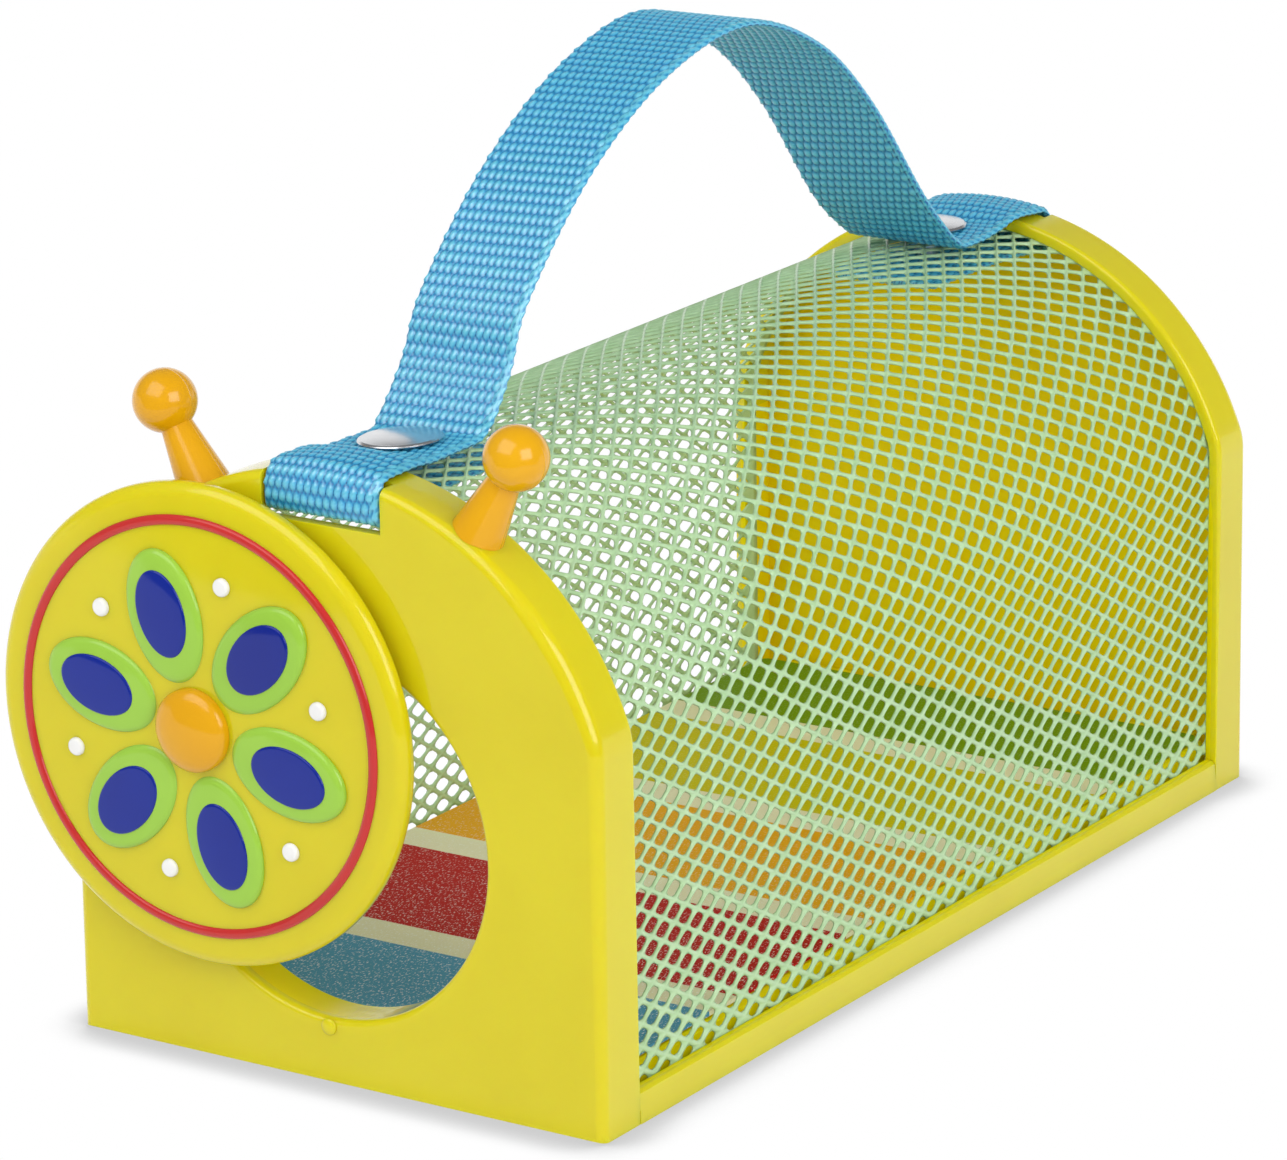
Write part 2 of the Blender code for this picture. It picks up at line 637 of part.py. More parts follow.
crown = add_tool("feeler_seat", skin(FRONT, 1, rounded_rings(GAP)))
for name, side in (("antenna_left", -1), ("antenna_right", 1)):
    lean = Matrix.Rotation(side * FEELER_ANGLE, 4, 'Y')
    seat = at(0, FRONT + PANEL_DEPTH / 2, ARCH_CENTRE_Z) @ lean @ at(0, 0, ARCH_RADIUS)
    start = math.acos(-math.sqrt(1 - (FEELER_NECK / FEELER_BALL) ** 2))
    neck = FEELER_LENGTH + FEELER_BALL * math.cos(start)
    foot = FEELER_BASE + (FEELER_BASE - FEELER_NECK) * FEELER_FOOT / neck
    profile = [(0, -FEELER_FOOT), (foot, -FEELER_FOOT), (FEELER_NECK, neck)]
    for i in range(1, 7):
        angle = start * (1 - i / 7)
        profile.append((FEELER_BALL * math.sin(angle), FEELER_LENGTH + FEELER_BALL * math.cos(angle)))
    profile.append((0, FEELER_LENGTH + FEELER_BALL))
    bm = bmesh.new()
    turn(bm, profile, 16, seat)
    feeler = add_object(name, bm, ORANGE, smooth=50.0)
    combine(feeler, crown, 'DIFFERENCE')
    extra = bmesh.new()
    turn(extra, [(0, -FEELER_PEG_DEPTH), (FEELER_PEG * 0.8, -FEELER_PEG_DEPTH),
                 (FEELER_PEG, 0.0006 - FEELER_PEG_DEPTH), (FEELER_PEG, 0.0020), (0, 0.0020)], 16, seat)
    combine(feeler, add_tool(name + "_peg", extra), 'UNION')


# Handle: one length of webbing, looped round both bars

def smooth_route(points, per_span):
    """Points of a smooth curve that runs through a few given ones."""
    route = []
    ends = [2 * points[0] - points[1]] + points + [2 * points[-1] - points[-2]]
    for n in range(1, len(ends) - 2):
        p0, p1, p2, p3 = ends[n - 1:n + 3]
        for i in range(per_span):
            t = i / per_span
            route.append(0.5 * (2 * p1 + (p2 - p0) * t + (2 * p0 - 5 * p1 + 4 * p2 - p3) * t * t
                                + (3 * p1 - p0 - 3 * p2 + p3) * t ** 3))
    route.append(points[-1])
    return route


def strap_loop(rivet, roll, top_run):
    """Stations of the band from its tail, round the rim and back to the rivet: place
    behind the outer face, height, slope across the band and rise of its middle."""
    tail = STRAP_TAIL_Z
    stations = [(STRAP_TAIL, tail, -roll, 0), (0.034, tail, -roll, 0), (rivet, tail, -roll, 0),
                (0.015, tail - 0.0003, -roll / 2, 0), (0.009, tail - 0.0009, 0, 0)]
    for i in range(4):
        angle = math.radians(270 - 30 * i)
        stations.append((LOOP_FRONT + LOOP_LOW_ROUND * (1 + math.cos(angle)),
                         LOOP_LOW_Z + LOOP_LOW_ROUND * (1 + math.sin(angle)),
                         0, STRAP_CROWN * (i - 1) / 5))
    for i in range(6):
        angle = math.radians(180 - 18 * i)
        stations.append((LOOP_FRONT + LOOP_TOP_ROUND * (1 + math.cos(angle)),
                         LOOP_TOP_Z - LOOP_TOP_ROUND * (1 - math.sin(angle)),
                         0, STRAP_CROWN * (0.5 + i / 10)))
    stations += [(y * MM, z * MM, slope, rise * MM) for y, z, slope, rise in top_run]
    stations.append((rivet, STRAP_FLAT_Z, roll, 0))
    return [Vector(spot) for spot in stations]


def placed(stations, end, inward):
    return [Vector((end + inward * p.x, p.y, p.z, p.w)) for p in stations]


# Places behind each outer face, heights and rises are in millimetres below
front_run = ((11.0, 107.2, 0.01, 1.2), (14.2, 106.0, 0.03, 0.4), (15.7, 105.3, 0.05, 0.1))
rear_run = ((11.0, 107.4, 0.03, 1.0), (15.0, 106.5, 0.04, 0.2), (17.6, 105.3, 0.03, -0.5))
front_loop = placed(strap_loop(FRONT_RIVET[1], FRONT_ROLL, front_run), FRONT, 1)
rear_loop = placed(strap_loop(REAR_RIVET[1], 0.0, rear_run), REAR, -1)
bow = ((30.4, 105.3, 0.07, 0), (32.2, 106.7, 0.05, 0), (34.6, 108.7, 0.04, 0),
       (39.8, 115.7, 0.06, 0), (45.5, 126.1, 0.08, 0), (64.9, 143.7, 0.08, 0), (88.5, 156.1, 0.05, 0),
       (113.9, 160.5, 0.01, 0), (136.8, 152.0, 0.08, 0), (154.4, 138.0, 0.10, 0), (172.2, 117.3, 0.12, 0),
       (182.7, 108.1, 0.06, 0), (185.8, 106.4, 0.03, 0), (188.2, 105.3, 0, -0.1))
bow = [Vector((FRONT + y * MM, z * MM, slope, rise * MM)) for y, z, slope, rise in bow]
route = front_loop + smooth_route([front_loop[-1]] + bow + [rear_loop[-1]], 3)[1:-1]
route += list(reversed(rear_loop))
bm = bmesh.new()
rings = []
over = [-1.0, -0.4, 0.4, 1.0]
section = [(a, -1) for a in over] + [(a, 1) for a in reversed(over)]
for n, spot in enumerate(route):
    before = route[max(n - 1, 0)]
    after = route[min(n + 1, len(route) - 1)]
    way = Vector((after.x - before.x, after.y - before.y)).normalized()
    outward = Vector((0, -way.y, way.x))
    across = (Vector((1, 0, 0)) + spot.z * outward).normalized() * (STRAP_WIDTH / 2)
    lift = outward * (STRAP_THICK / 2)
    middle_line = Vector((0, spot.x, spot.y))
    rings.append([bm.verts.new(middle_line + a * across + b * lift - spot.w * a * a * outward)
                  for a, b in section])
for a, b in zip(rings, rings[1:]):
    for i in range(len(section)):
        k = (i + 1) % len(section)
        bm.faces.new((a[i], a[k], b[k], b[i]))
for ring in (rings[0], rings[-1]):
    for i in range(len(over) - 1):
        bm.faces.new((ring[i], ring[i + 1], ring[-2 - i], ring[-1 - i]))
handle_strap = add_object("handle_strap", bm, BLUE)

burr_top = STRAP_TAIL_Z - STRAP_THICK / 2 - GAP - STRAP_FLAT_Z
burr_low = burr_top - WASHER_THICK - GAP
head_low = STRAP_THICK / 2 + GAP
cut = bmesh.new()
for name, x, y, roll in (("front_rivet", FRONT_RIVET[0], FRONT + FRONT_RIVET[1], FRONT_ROLL),
                         ("rear_rivet", REAR_RIVET[0], REAR - REAR_RIVET[1], 0.0)):
    place = at(x, y, STRAP_FLAT_Z) @ Matrix.Rotation(-math.atan(roll), 4, 'Y')
    hole = RIVET_POST + GAP
    turn(cut, [(0, -0.010), (hole, -0.010), (hole, 0.005), (0, 0.005)], 16, place)
    bm = bmesh.new()
    turn(bm, [(0, burr_low - 0.0011), (0.0024, burr_low - 0.0011), (0.0034, burr_low - 0.0005),
              (0.0034, burr_low), (RIVET_POST, burr_low), (RIVET_POST, head_low),
              (RIVET_HEAD - 0.0003, head_low), (RIVET_HEAD, head_low + 0.0003),
              (RIVET_HEAD - 0.0008, head_low + 0.0006), (RIVET_HEAD * 0.5, head_low + 0.0010),
              (0, head_low + 0.0011)], 18, place)
    add_object(name, bm, STEEL)
    bm = bmesh.new()
    ring_solid(bm, RIVET_POST + GAP, WASHER_RADIUS, burr_top - WASHER_THICK, burr_top, 18, place)
    add_object(name + "_washer", bm, STEEL)
combine(handle_strap, add_tool("strap_rivet_holes", cut), 'DIFFERENCE')
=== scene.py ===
import math

import bmesh
import bpy
import numpy as np
from mathutils import Matrix, Vector


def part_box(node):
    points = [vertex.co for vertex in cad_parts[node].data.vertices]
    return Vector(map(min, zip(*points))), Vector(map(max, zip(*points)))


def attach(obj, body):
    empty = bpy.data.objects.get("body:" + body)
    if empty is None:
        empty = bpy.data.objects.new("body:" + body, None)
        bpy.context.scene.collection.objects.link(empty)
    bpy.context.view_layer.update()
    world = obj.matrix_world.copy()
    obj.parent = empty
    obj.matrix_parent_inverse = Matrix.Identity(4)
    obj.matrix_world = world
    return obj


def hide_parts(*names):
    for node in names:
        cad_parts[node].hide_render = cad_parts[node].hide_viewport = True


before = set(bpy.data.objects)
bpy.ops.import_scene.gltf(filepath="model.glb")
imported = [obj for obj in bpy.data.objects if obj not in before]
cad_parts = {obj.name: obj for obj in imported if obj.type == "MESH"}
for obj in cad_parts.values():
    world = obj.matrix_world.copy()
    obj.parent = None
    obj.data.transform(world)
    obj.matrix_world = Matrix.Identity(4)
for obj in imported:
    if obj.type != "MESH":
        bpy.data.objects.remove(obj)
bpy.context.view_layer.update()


# Base tray: one yellow moulding with a grooved rail along each side, a raised
# deck between them and ribs below.  Its tongues slide into the end panels,
# where the base screws hold them.

def wire(tree, source, output, target, socket):
    tree.links.new(source.outputs[output], target.inputs[socket])


def add_node(tree, kind, **settings):
    node = tree.nodes.new(kind)
    for key, value in settings.items():
        if key in node.inputs:
            node.inputs[key].default_value = value
        else:
            setattr(node, key, value)
    return node


def blank_finish(name):
    finish = bpy.data.materials.new(name)
    finish.use_nodes = True
    tree = finish.node_tree
    return finish, tree, tree.nodes["Principled BSDF"]


def colour_steps(tree, stops, interpolation='LINEAR'):
    """Ramp through (place, linear colour) stops."""
    ramp = tree.nodes.new('ShaderNodeValToRGB')
    ramp.color_ramp.interpolation = interpolation
    while len(ramp.color_ramp.elements) < len(stops):
        ramp.color_ramp.elements.new(0.5)
    for element, (place, colour) in zip(ramp.color_ramp.elements, stops):
        element.position = place
        element.color = (*colour, 1.0)
    return ramp


def reckon(tree, operation, first, second=0.0):
    """One step of arithmetic on sockets or numbers."""
    node = add_node(tree, 'ShaderNodeMath', operation=operation)
    for slot, value in zip(node.inputs, (first, second)):
        if isinstance(value, (int, float)):
            slot.default_value = value
        else:
            tree.links.new(value, slot)
    return node.outputs[0]


def spread(tree, source, low, high, start=0.0, stop=1.0):
    """Carries a socket's run from start to stop over to low to high."""
    node = add_node(tree, 'ShaderNodeMapRange')
    tree.links.new(source, node.inputs["Value"])
    for socket, value in (("From Min", start), ("From Max", stop), ("To Min", low), ("To Max", high)):
        node.inputs[socket].default_value = value
    return node.outputs["Result"]


def noise(tree, place, scale, detail, space="Object"):
    clouds = add_node(tree, 'ShaderNodeTexNoise', Scale=scale, Detail=detail)
    wire(tree, place, space, clouds, "Vector")
    return clouds.outputs["Fac"]


def relief(tree, shader, height, strength, distance):
    """Fine unevenness of a surface, from a height socket."""
    bump = add_node(tree, 'ShaderNodeBump', Strength=strength, Distance=distance)
    tree.links.new(height, bump.inputs["Height"])
    wire(tree, bump, "Normal", shader, "Normal")


ARCH_CENTRE_Z = 0.0501
DOORWAY_X = -0.0012
DOORWAY_Z = 0.0438
ROOM_RADIUS = 0.0522
ROOM_HALF_LENGTH = 0.1086
BORE_RADIUS = 0.0332
BORE_BACK_Y = -0.1020
BORE_GLOSS_X = (-0.0080, 0.0010)


def paint_room_bounce_light(tree, shader, place, tint, room_bounce_colour):
    """Paints bounced light on the walls of the room under the screen: a deeper, more saturated colour
    standing in for the yellow light thrown about inside, and no gloss;
    the bore of the doorway keeps its gloss on the right."""
    spot = add_node(tree, 'ShaderNodeSeparateXYZ')
    wire(tree, place, "Object", spot, "Vector")
    x, y, z = (spot.outputs[axis] for axis in "XYZ")
    rise = reckon(tree, 'MAXIMUM', reckon(tree, 'SUBTRACT', z, ARCH_CENTRE_Z))
    across = reckon(tree, 'ABSOLUTE', x)
    reach = reckon(tree, 'SQRT', reckon(tree, 'ADD', reckon(tree, 'POWER', across, 2.0),
                                        reckon(tree, 'POWER', rise, 2.0)))
    room = reckon(tree, 'MULTIPLY', reckon(tree, 'LESS_THAN', reach, ROOM_RADIUS),
                  reckon(tree, 'LESS_THAN', reckon(tree, 'ABSOLUTE', y), ROOM_HALF_LENGTH))
    # Painted bounce light: inside the room the base colour gives way to the deeper gold.
    room_painted = add_node(tree, 'ShaderNodeMix', data_type='RGBA')
    tree.links.new(room, room_painted.inputs[0])
    tree.links.new(tint, room_painted.inputs[6])
    room_painted.inputs[7].default_value = (*room_bounce_colour, 1)
    tree.links.new(room_painted.outputs[2], shader.inputs["Base Color"])
    upright = add_node(tree, 'ShaderNodeCombineXYZ')
    tree.links.new(x, upright.inputs["X"])
    tree.links.new(z, upright.inputs["Z"])
    bore = add_node(tree, 'ShaderNodeVectorMath', operation='DISTANCE')
    wire(tree, upright, "Vector", bore, 0)
    bore.inputs[1].default_value = (DOORWAY_X, 0, DOORWAY_Z)
    in_bore = reckon(tree, 'MULTIPLY', reckon(tree, 'LESS_THAN', bore.outputs["Value"], BORE_RADIUS),
                     reckon(tree, 'LESS_THAN', y, BORE_BACK_Y))
    gleam = reckon(tree, 'MULTIPLY', in_bore, spread(tree, x, 0.0, 1.0, *BORE_GLOSS_X))
    dull = reckon(tree, 'MULTIPLY', room, reckon(tree, 'SUBTRACT', 1.0, gleam))
    tree.links.new(reckon(tree, 'SUBTRACT', 1.0, dull), shader.inputs["Coat Weight"])


def moulded_plastic(name, colour, deep, roughness=(0.26, 0.34), waviness=0.04, depth=0.0, room_bounce_colour=None,
                    coat_roughness=0.06):
    """Gloss plastic: slow shifts of colour, fine changes of gloss, the slight
    waviness of a moulded wall and, with a depth, light that soaks through."""
    finish, tree, shader = blank_finish(name)
    place = add_node(tree, 'ShaderNodeTexCoord')
    tint = colour_steps(tree, ((0.30, deep), (0.62, colour)))
    tree.links.new(noise(tree, place, 38.0, 3.0), tint.inputs["Fac"])
    wire(tree, tint, "Color", shader, "Base Color")
    shader.inputs["Coat Weight"].default_value = 1.0
    shader.inputs["Coat Roughness"].default_value = coat_roughness
    shader.inputs["Coat IOR"].default_value = 1.40
    # A room colour paints bounced light on the walls under the screen.
    if room_bounce_colour:
        paint_room_bounce_light(tree, shader, place, tint.outputs["Color"], room_bounce_colour)
    tree.links.new(spread(tree, noise(tree, place, 420.0, 4.0), *roughness), shader.inputs["Roughness"])
    relief(tree, shader, noise(tree, place, 55.0, 1.0), waviness, 0.001)
    shader.inputs["Specular IOR Level"].default_value = 0.08
    if depth:
        shader.inputs["Subsurface Weight"].default_value = 0.6
        shader.inputs["Subsurface Radius"].default_value = (1.0, 0.75, 0.08)
        shader.inputs["Subsurface Scale"].default_value = depth
    return finish


def show(name, mesh, look, body="house"):
    """New piece in the scene, with its finish, riding on a body."""
    piece = bpy.data.objects.new(name, mesh)
    bpy.context.scene.collection.objects.link(piece)
    piece.data.materials.clear()
    piece.data.materials.append(look)
    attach(piece, body)
    return piece


def level_faces(piece):
    """Keeps wide flat faces flat to the eye beside their rounded edges."""
    piece.modifiers.new("flat_faces", 'WEIGHTED_NORMAL').keep_sharp = True


def smooth_mesh(bm, name, crease):
    """Closes a mesh that is smooth but for edges sharper than the crease."""
    mesh = bpy.data.meshes.new(name)
    bm.to_mesh(mesh)
    bm.free()
    mesh.shade_smooth()
    mesh.set_sharp_from_angle(angle=math.radians(crease))
    return mesh


def rounded_copy(node, width, corner_angle):
    """Mesh of a CAD solid with its sharp edges rounded over, but not at its two ends."""
    bm = bmesh.new()
    bm.from_mesh(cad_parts[node].data)
    bmesh.ops.remove_doubles(bm, verts=bm.verts, dist=1e-6)
    bmesh.ops.dissolve_limit(bm, angle_limit=math.radians(0.5), verts=bm.verts, edges=bm.edges)
    end = max(v.co.y for v in bm.verts)
    sharp = [e for e in bm.edges if len(e.link_faces) == 2
             and e.calc_face_angle() > math.radians(corner_angle)
             and not all(abs(v.co.y) > end - 1e-5 for v in e.verts)]
    bmesh.ops.bevel(bm, geom=sharp, offset=width, segments=3, profile=0.5,
                    affect='EDGES', clamp_overlap=True)
    for v in bm.verts:
        v.co.z = max(v.co.z, 0.0)
    return bm


PARTING_Z = 0.0023
PARTING_STEP = 0.00010
RAIL_TOP_Z = 0.0060
RAIL_ROUND = 0.0016
RAIL_FOOT_REACH, RAIL_FOOT_RISE = 0.0009, 0.0010
bm = rounded_copy("base_tray", 0.00035, 40)
for z in (PARTING_Z, PARTING_Z + PARTING_STEP):
    bmesh.ops.bisect_plane(bm, geom=bm.verts[:] + bm.edges[:] + bm.faces[:],
                           plane_co=(0, 0, z), plane_no=(0, 0, 1))
side = max(v.co.x for v in bm.verts)
for v in bm.verts:
    out, rise = abs(v.co.x) - side + RAIL_ROUND, v.co.z - RAIL_TOP_Z + RAIL_ROUND
    if out > 0 and rise > 0:
        keep = min(RAIL_ROUND / math.hypot(out, rise), 1)
        v.co.x = math.copysign(side - RAIL_ROUND + out * keep, v.co.x)
        v.co.z = RAIL_TOP_Z - RAIL_ROUND + rise * keep
    if abs(v.co.x) > side - RAIL_FOOT_REACH and v.co.z < RAIL_FOOT_RISE:
        v.co.x = math.copysign(side, v.co.x)
    if abs(v.co.x) > side - 0.0001 and v.co.z < PARTING_Z + 1e-6:
        v.co.x *= 1 + PARTING_STEP / side
bmesh.ops.dissolve_degenerate(bm, edges=bm.edges, dist=1e-6)
mesh = smooth_mesh(bm, "base_tray_rounded", 40)

YELLOW = (0.675, 0.592, 0.006)
YELLOW_DEEP = (0.650, 0.558, 0.004)
# Deeper gold painted on the walls inside the house: painted bounce light from the yellow walls around them.
YELLOW_PAINTED_BOUNCE = (0.780, 0.630, 0.000)
yellow_gloss = moulded_plastic("yellow_gloss_moulding", YELLOW, YELLOW_DEEP, depth=0.004,
                               room_bounce_colour=YELLOW_PAINTED_BOUNCE)
tray = show("base_tray_moulding", mesh, yellow_gloss)
level_faces(tray)
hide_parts("base_tray")


# Floor sheet: thin printed plastic laid on the deck, with broad coloured stripes parted by narrow cream
# ones, a fine embossed grain, and pale specks that are painted glints, strongest near the doorway.

STRIPE_BLUE = (0.096, 0.335, 0.535)
STRIPE_CREAM = (0.860, 0.800, 0.550)
STRIPE_RED = (0.515, 0.013, 0.012)
STRIPE_OCHRE = (0.870, 0.405, 0.010)
STRIPE_OLIVE = (0.640, 0.550, 0.004)
STRIPE_GREEN = (0.180, 0.320, 0.006)
STRIPES = ((0.0, STRIPE_BLUE), (38.9, STRIPE_CREAM), (48.1, STRIPE_RED), (83.4, STRIPE_CREAM),
           (91.9, STRIPE_OCHRE), (127.2, STRIPE_CREAM), (136.0, STRIPE_OLIVE),
           (171.3, STRIPE_CREAM), (180.1, STRIPE_GREEN))
HOUSE_LENGTH = 221.0
striped_sheet, tree, shader = blank_finish("striped_floor_sheet")
place = add_node(tree, 'ShaderNodeTexCoord')
split = add_node(tree, 'ShaderNodeSeparateXYZ')
wire(tree, place, "Object", split, "Vector")
along = spread(tree, split.outputs["Y"], 0.0, 1.0, -HOUSE_LENGTH / 2000, HOUSE_LENGTH / 2000)
bands = colour_steps(tree, [(y / HOUSE_LENGTH, c) for y, c in STRIPES], 'CONSTANT')
tree.links.new(along, bands.inputs["Fac"])
drawn = add_node(tree, 'ShaderNodeMapping')
drawn.inputs["Scale"].default_value = (1.0, 0.40, 1.0)
wire(tree, place, "Object", drawn, "Vector")
grain = add_node(tree, 'ShaderNodeTexVoronoi', feature='DISTANCE_TO_EDGE', Scale=2600.0, Randomness=1.0)
wire(tree, drawn, "Vector", grain, "Vector")
# Pale specks screened over the stripes are painted glints of light on the grain; they fade towards the
# back, where less light comes in.
glint_specks = colour_steps(tree, ((0.60, (0, 0, 0)), (0.67, (1, 1, 1))))
tree.links.new(noise(tree, drawn, 3600.0, 1.0, "Vector"), glint_specks.inputs["Fac"])
glinted = add_node(tree, 'ShaderNodeMix', data_type='RGBA', blend_type='SCREEN')
wire(tree, bands, "Color", glinted, 6)
glinted.inputs[7].default_value = (0.80, 0.77, 0.72, 1.0)
glint_fade = spread(tree, split.outputs["Y"], 0.80, 0.10, -0.060, 0.020)
tree.links.new(reckon(tree, 'MULTIPLY', glint_specks.outputs["Color"], glint_fade), glinted.inputs[0])
tree.links.new(glinted.outputs[2], shader.inputs["Base Color"])
relief(tree, shader, grain.outputs["Distance"], 0.7, 0.00012)
shader.inputs["Roughness"].default_value = 0.40
shader.inputs["Specular IOR Level"].default_value = 0.02


def dress(node, look):
    """Finish of a CAD solid that shows as it is."""
    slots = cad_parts[node].data.materials
    slots.clear()
    slots.append(look)


dress("floor_insert", striped_sheet)


# End panels: two yellow mouldings, each a flat wall with an arched rim that
# holds the end of the screen.  A notch in the crown lets the handle round the
# rim, and the front one has the round doorway with its collar and detent nub.

HALF_WIDTH = 0.0535
ARCH_RADIUS = 0.0561
SPRING_ROUND = 0.0120
PANEL_DEPTH = 0.01089
PANEL_WALL = 0.0022
RIM_WALL = 0.00225
RIM_ROUND = 0.0009
FOOT_WALL = 0.0025
EDGE_ROUND = ((0.050, 0.0018), (0.072, 0.0024), (0.088, 0.0024), (0.106, 0.0015))
FOOT_ROUND = 0.0003
FOOT_RIM_ROUND = 0.0001
FRONT = -0.1105
REAR = 0.1105
DOORWAY_RADIUS = 0.0323
DOORWAY_LIP = 0.0012
COLLAR_DEPTH = 0.0080
COLLAR_WALL = 0.0020
DETENT_Z = 0.0100
DETENT_RADIUS = 0.0015
DETENT_RISE = 0.0006
PIVOT_Z = 0.0823
PIVOT_HOLE = 0.0021
SCREW_X = 0.0380
SCREW_FROM_END = 0.0066
NOTCH_HALF = 0.0119
NOTCH_FLOOR_Z = 0.0973
NOTCH_DEPTH = 0.0040
NOTCH_ROUND = 0.0006
FACE_FRONT = Matrix.Rotation(math.radians(90), 4, 'X')


def arc(middle, radius, start, stop, steps):
    """Points of a circular arc in a profile, angles in degrees."""
    return [(middle[0] + radius * math.cos(math.radians(start + (stop - start) * i / steps)),
             middle[1] + radius * math.sin(math.radians(start + (stop - start) * i / steps)))
            for i in range(steps + 1)]


def panel_outline(inset, floor_z):
    """Upright sides that bend into a broad arch, drawn in by inset."""
    side = HALF_WIDTH - SPRING_ROUND
    rise = math.sqrt((ARCH_RADIUS - SPRING_ROUND) ** 2 - side ** 2)
    spring = math.degrees(math.atan2(rise, side))
    bend = arc((side, ARCH_CENTRE_Z + rise), SPRING_ROUND - inset, 0, spring, 8)[:-1]
    crown = arc((0, ARCH_CENTRE_Z), ARCH_RADIUS - inset, spring, 180 - spring, 90)
    foot = HALF_WIDTH - inset
    return [(-foot, floor_z), (foot, floor_z)] + bend + crown + [(-x, z) for x, z in reversed(bend)]


def panel_shell(face_y, inward):
    """Open cap with a rounded outer edge, tighter down the sides, and a softened rim."""
    rings = []
    edge = panel_outline(0, 0)
    drawn = panel_outline(0.001, 0.001)
    rounds = np.interp([z for x, z in edge], *zip(*EDGE_ROUND)) / 0.001
    for inset, depth in arc((1, 1), 1, 270, 180, 12):
        rings.append([(x + (u - x) * inset * r, depth * r * 0.001,
                       z + (v - z) * inset * (r if z else FOOT_ROUND / 0.001))
                      for (x, z), (u, v), r in zip(edge, drawn, rounds)])
    for inset, rise in arc((1, 0), 1, 180, 90, 5):
        feet = panel_outline(inset * FOOT_RIM_ROUND, inset * FOOT_RIM_ROUND)[:2]
        ring = [(x, PANEL_DEPTH - FOOT_RIM_ROUND * (1 - rise), z) for x, z in feet]
        arch = panel_outline(inset * RIM_ROUND, 0)[2:]
        rings.append(ring + [(x, PANEL_DEPTH - RIM_ROUND * (1 - rise), z) for x, z in arch])
    for depth in (PANEL_DEPTH, PANEL_WALL):
        rings.append([(x, depth, z) for x, z in panel_outline(RIM_WALL, FOOT_WALL)])
    bm = bmesh.new()
    loops = [[bm.verts.new((x, face_y + inward * depth, z)) for x, depth, z in ring] for ring in rings]
    for a, b in zip(loops, loops[1:]):
        for i in range(len(a)):
            k = (i + 1) % len(a)
            bm.faces.new((a[i], a[k], b[k], b[i]))
    bm.faces.new(loops[0])
    bm.faces.new(loops[-1])
    return bm


def block(bm, low, high):
    corners = bmesh.ops.create_cube(bm, size=1.0)["verts"]
    middle = (Vector(low) + Vector(high)) / 2
    size = Vector(high) - Vector(low)
    for v in corners:
        v.co = Vector((v.co.x * size.x, v.co.y * size.y, v.co.z * size.z)) + middle


def turned(bm, profile, steps, place, seam=0.0):
    """Solid of revolution of a (radius, height) profile closed on its axis; a seam
    raises a fine line along two opposite sides."""
    spins = [(math.tau * i / steps, 1.0) for i in range(steps)]
    if seam:
        for turn in (0.0, math.pi):
            spins += [(turn - 0.014, 1.0), (turn + 0.014, 1.0)]
        spins = sorted((a % math.tau, 1.0 + seam * (a in (0.0, math.pi))) for a, b in spins)
    steps = len(spins)
    rings = []
    for radius, height in profile:
        if radius < 1e-7:
            rings.append([bm.verts.new(place @ Vector((0, 0, height)))])
        else:
            rings.append([bm.verts.new(place @ Vector((radius * grow * math.cos(a),
                                                       radius * grow * math.sin(a), height)))
                          for a, grow in spins])
    for lower, upper in zip(rings, rings[1:]):
        for i in range(steps):
            k = (i + 1) % steps
            if len(lower) == 1:
                bm.faces.new((lower[0], upper[i], upper[k]))
            elif len(upper) == 1:
                bm.faces.new((lower[k], lower[i], upper[0]))
            else:
                bm.faces.new((lower[k], lower[i], upper[i], upper[k]))


def bare_object(name, bm):
    bmesh.ops.recalc_face_normals(bm, faces=bm.faces)
    mesh = bpy.data.meshes.new(name)
    bm.to_mesh(mesh)
    bm.free()
    made = bpy.data.objects.new(name, mesh)
    bpy.context.scene.collection.objects.link(made)
    return made


def machine(work, bm, how):
    """Joins a tool shape to a moulding or cuts it away, for good."""
    tool = bare_object("tool", bm)
    step = work.modifiers.new("step", 'BOOLEAN')
    step.operation = how
    step.object = tool
    step.solver = 'EXACT'
    depsgraph = bpy.context.evaluated_depsgraph_get()
    done = bpy.data.meshes.new_from_object(work.evaluated_get(depsgraph))
    work.modifiers.clear()
    old = work.data
    work.data = done
    bpy.data.meshes.remove(old)
    bpy.data.objects.remove(tool)


def soften_notch(work):
    """Rounds over the notch's edges in a panel."""
    bm = bmesh.new()
    bm.from_mesh(work.data)
    bmesh.ops.remove_doubles(bm, verts=bm.verts, dist=2e-6)
    sharp = []
    for e in bm.edges:
        on_wall = all(abs(abs(v.co.x) - NOTCH_HALF) < 1e-5 for v in e.verts)
        on_floor = all(abs(v.co.z - NOTCH_FLOOR_Z) < 1e-5 and abs(v.co.x) < NOTCH_HALF + 1e-5
                       for v in e.verts)
        if (on_wall or on_floor) and len(e.link_faces) == 2 and e.calc_face_angle() > math.radians(45):
            sharp.append(e)
    bmesh.ops.bevel(bm, geom=sharp, offset=NOTCH_ROUND, segments=4, profile=0.5,
                    affect='EDGES', clamp_overlap=True)
    bm.to_mesh(work.data)
    bm.free()


def finished_mesh(work, name, crease):
    """Takes a machined object apart into a clean, smooth-shaded mesh."""
    bm = bmesh.new()
    bm.from_mesh(work.data)
    bpy.data.objects.remove(work)
    bmesh.ops.remove_doubles(bm, verts=bm.verts, dist=2e-6)
    bmesh.ops.dissolve_degenerate(bm, edges=bm.edges, dist=1e-6)
    return smooth_mesh(bm, name, crease)


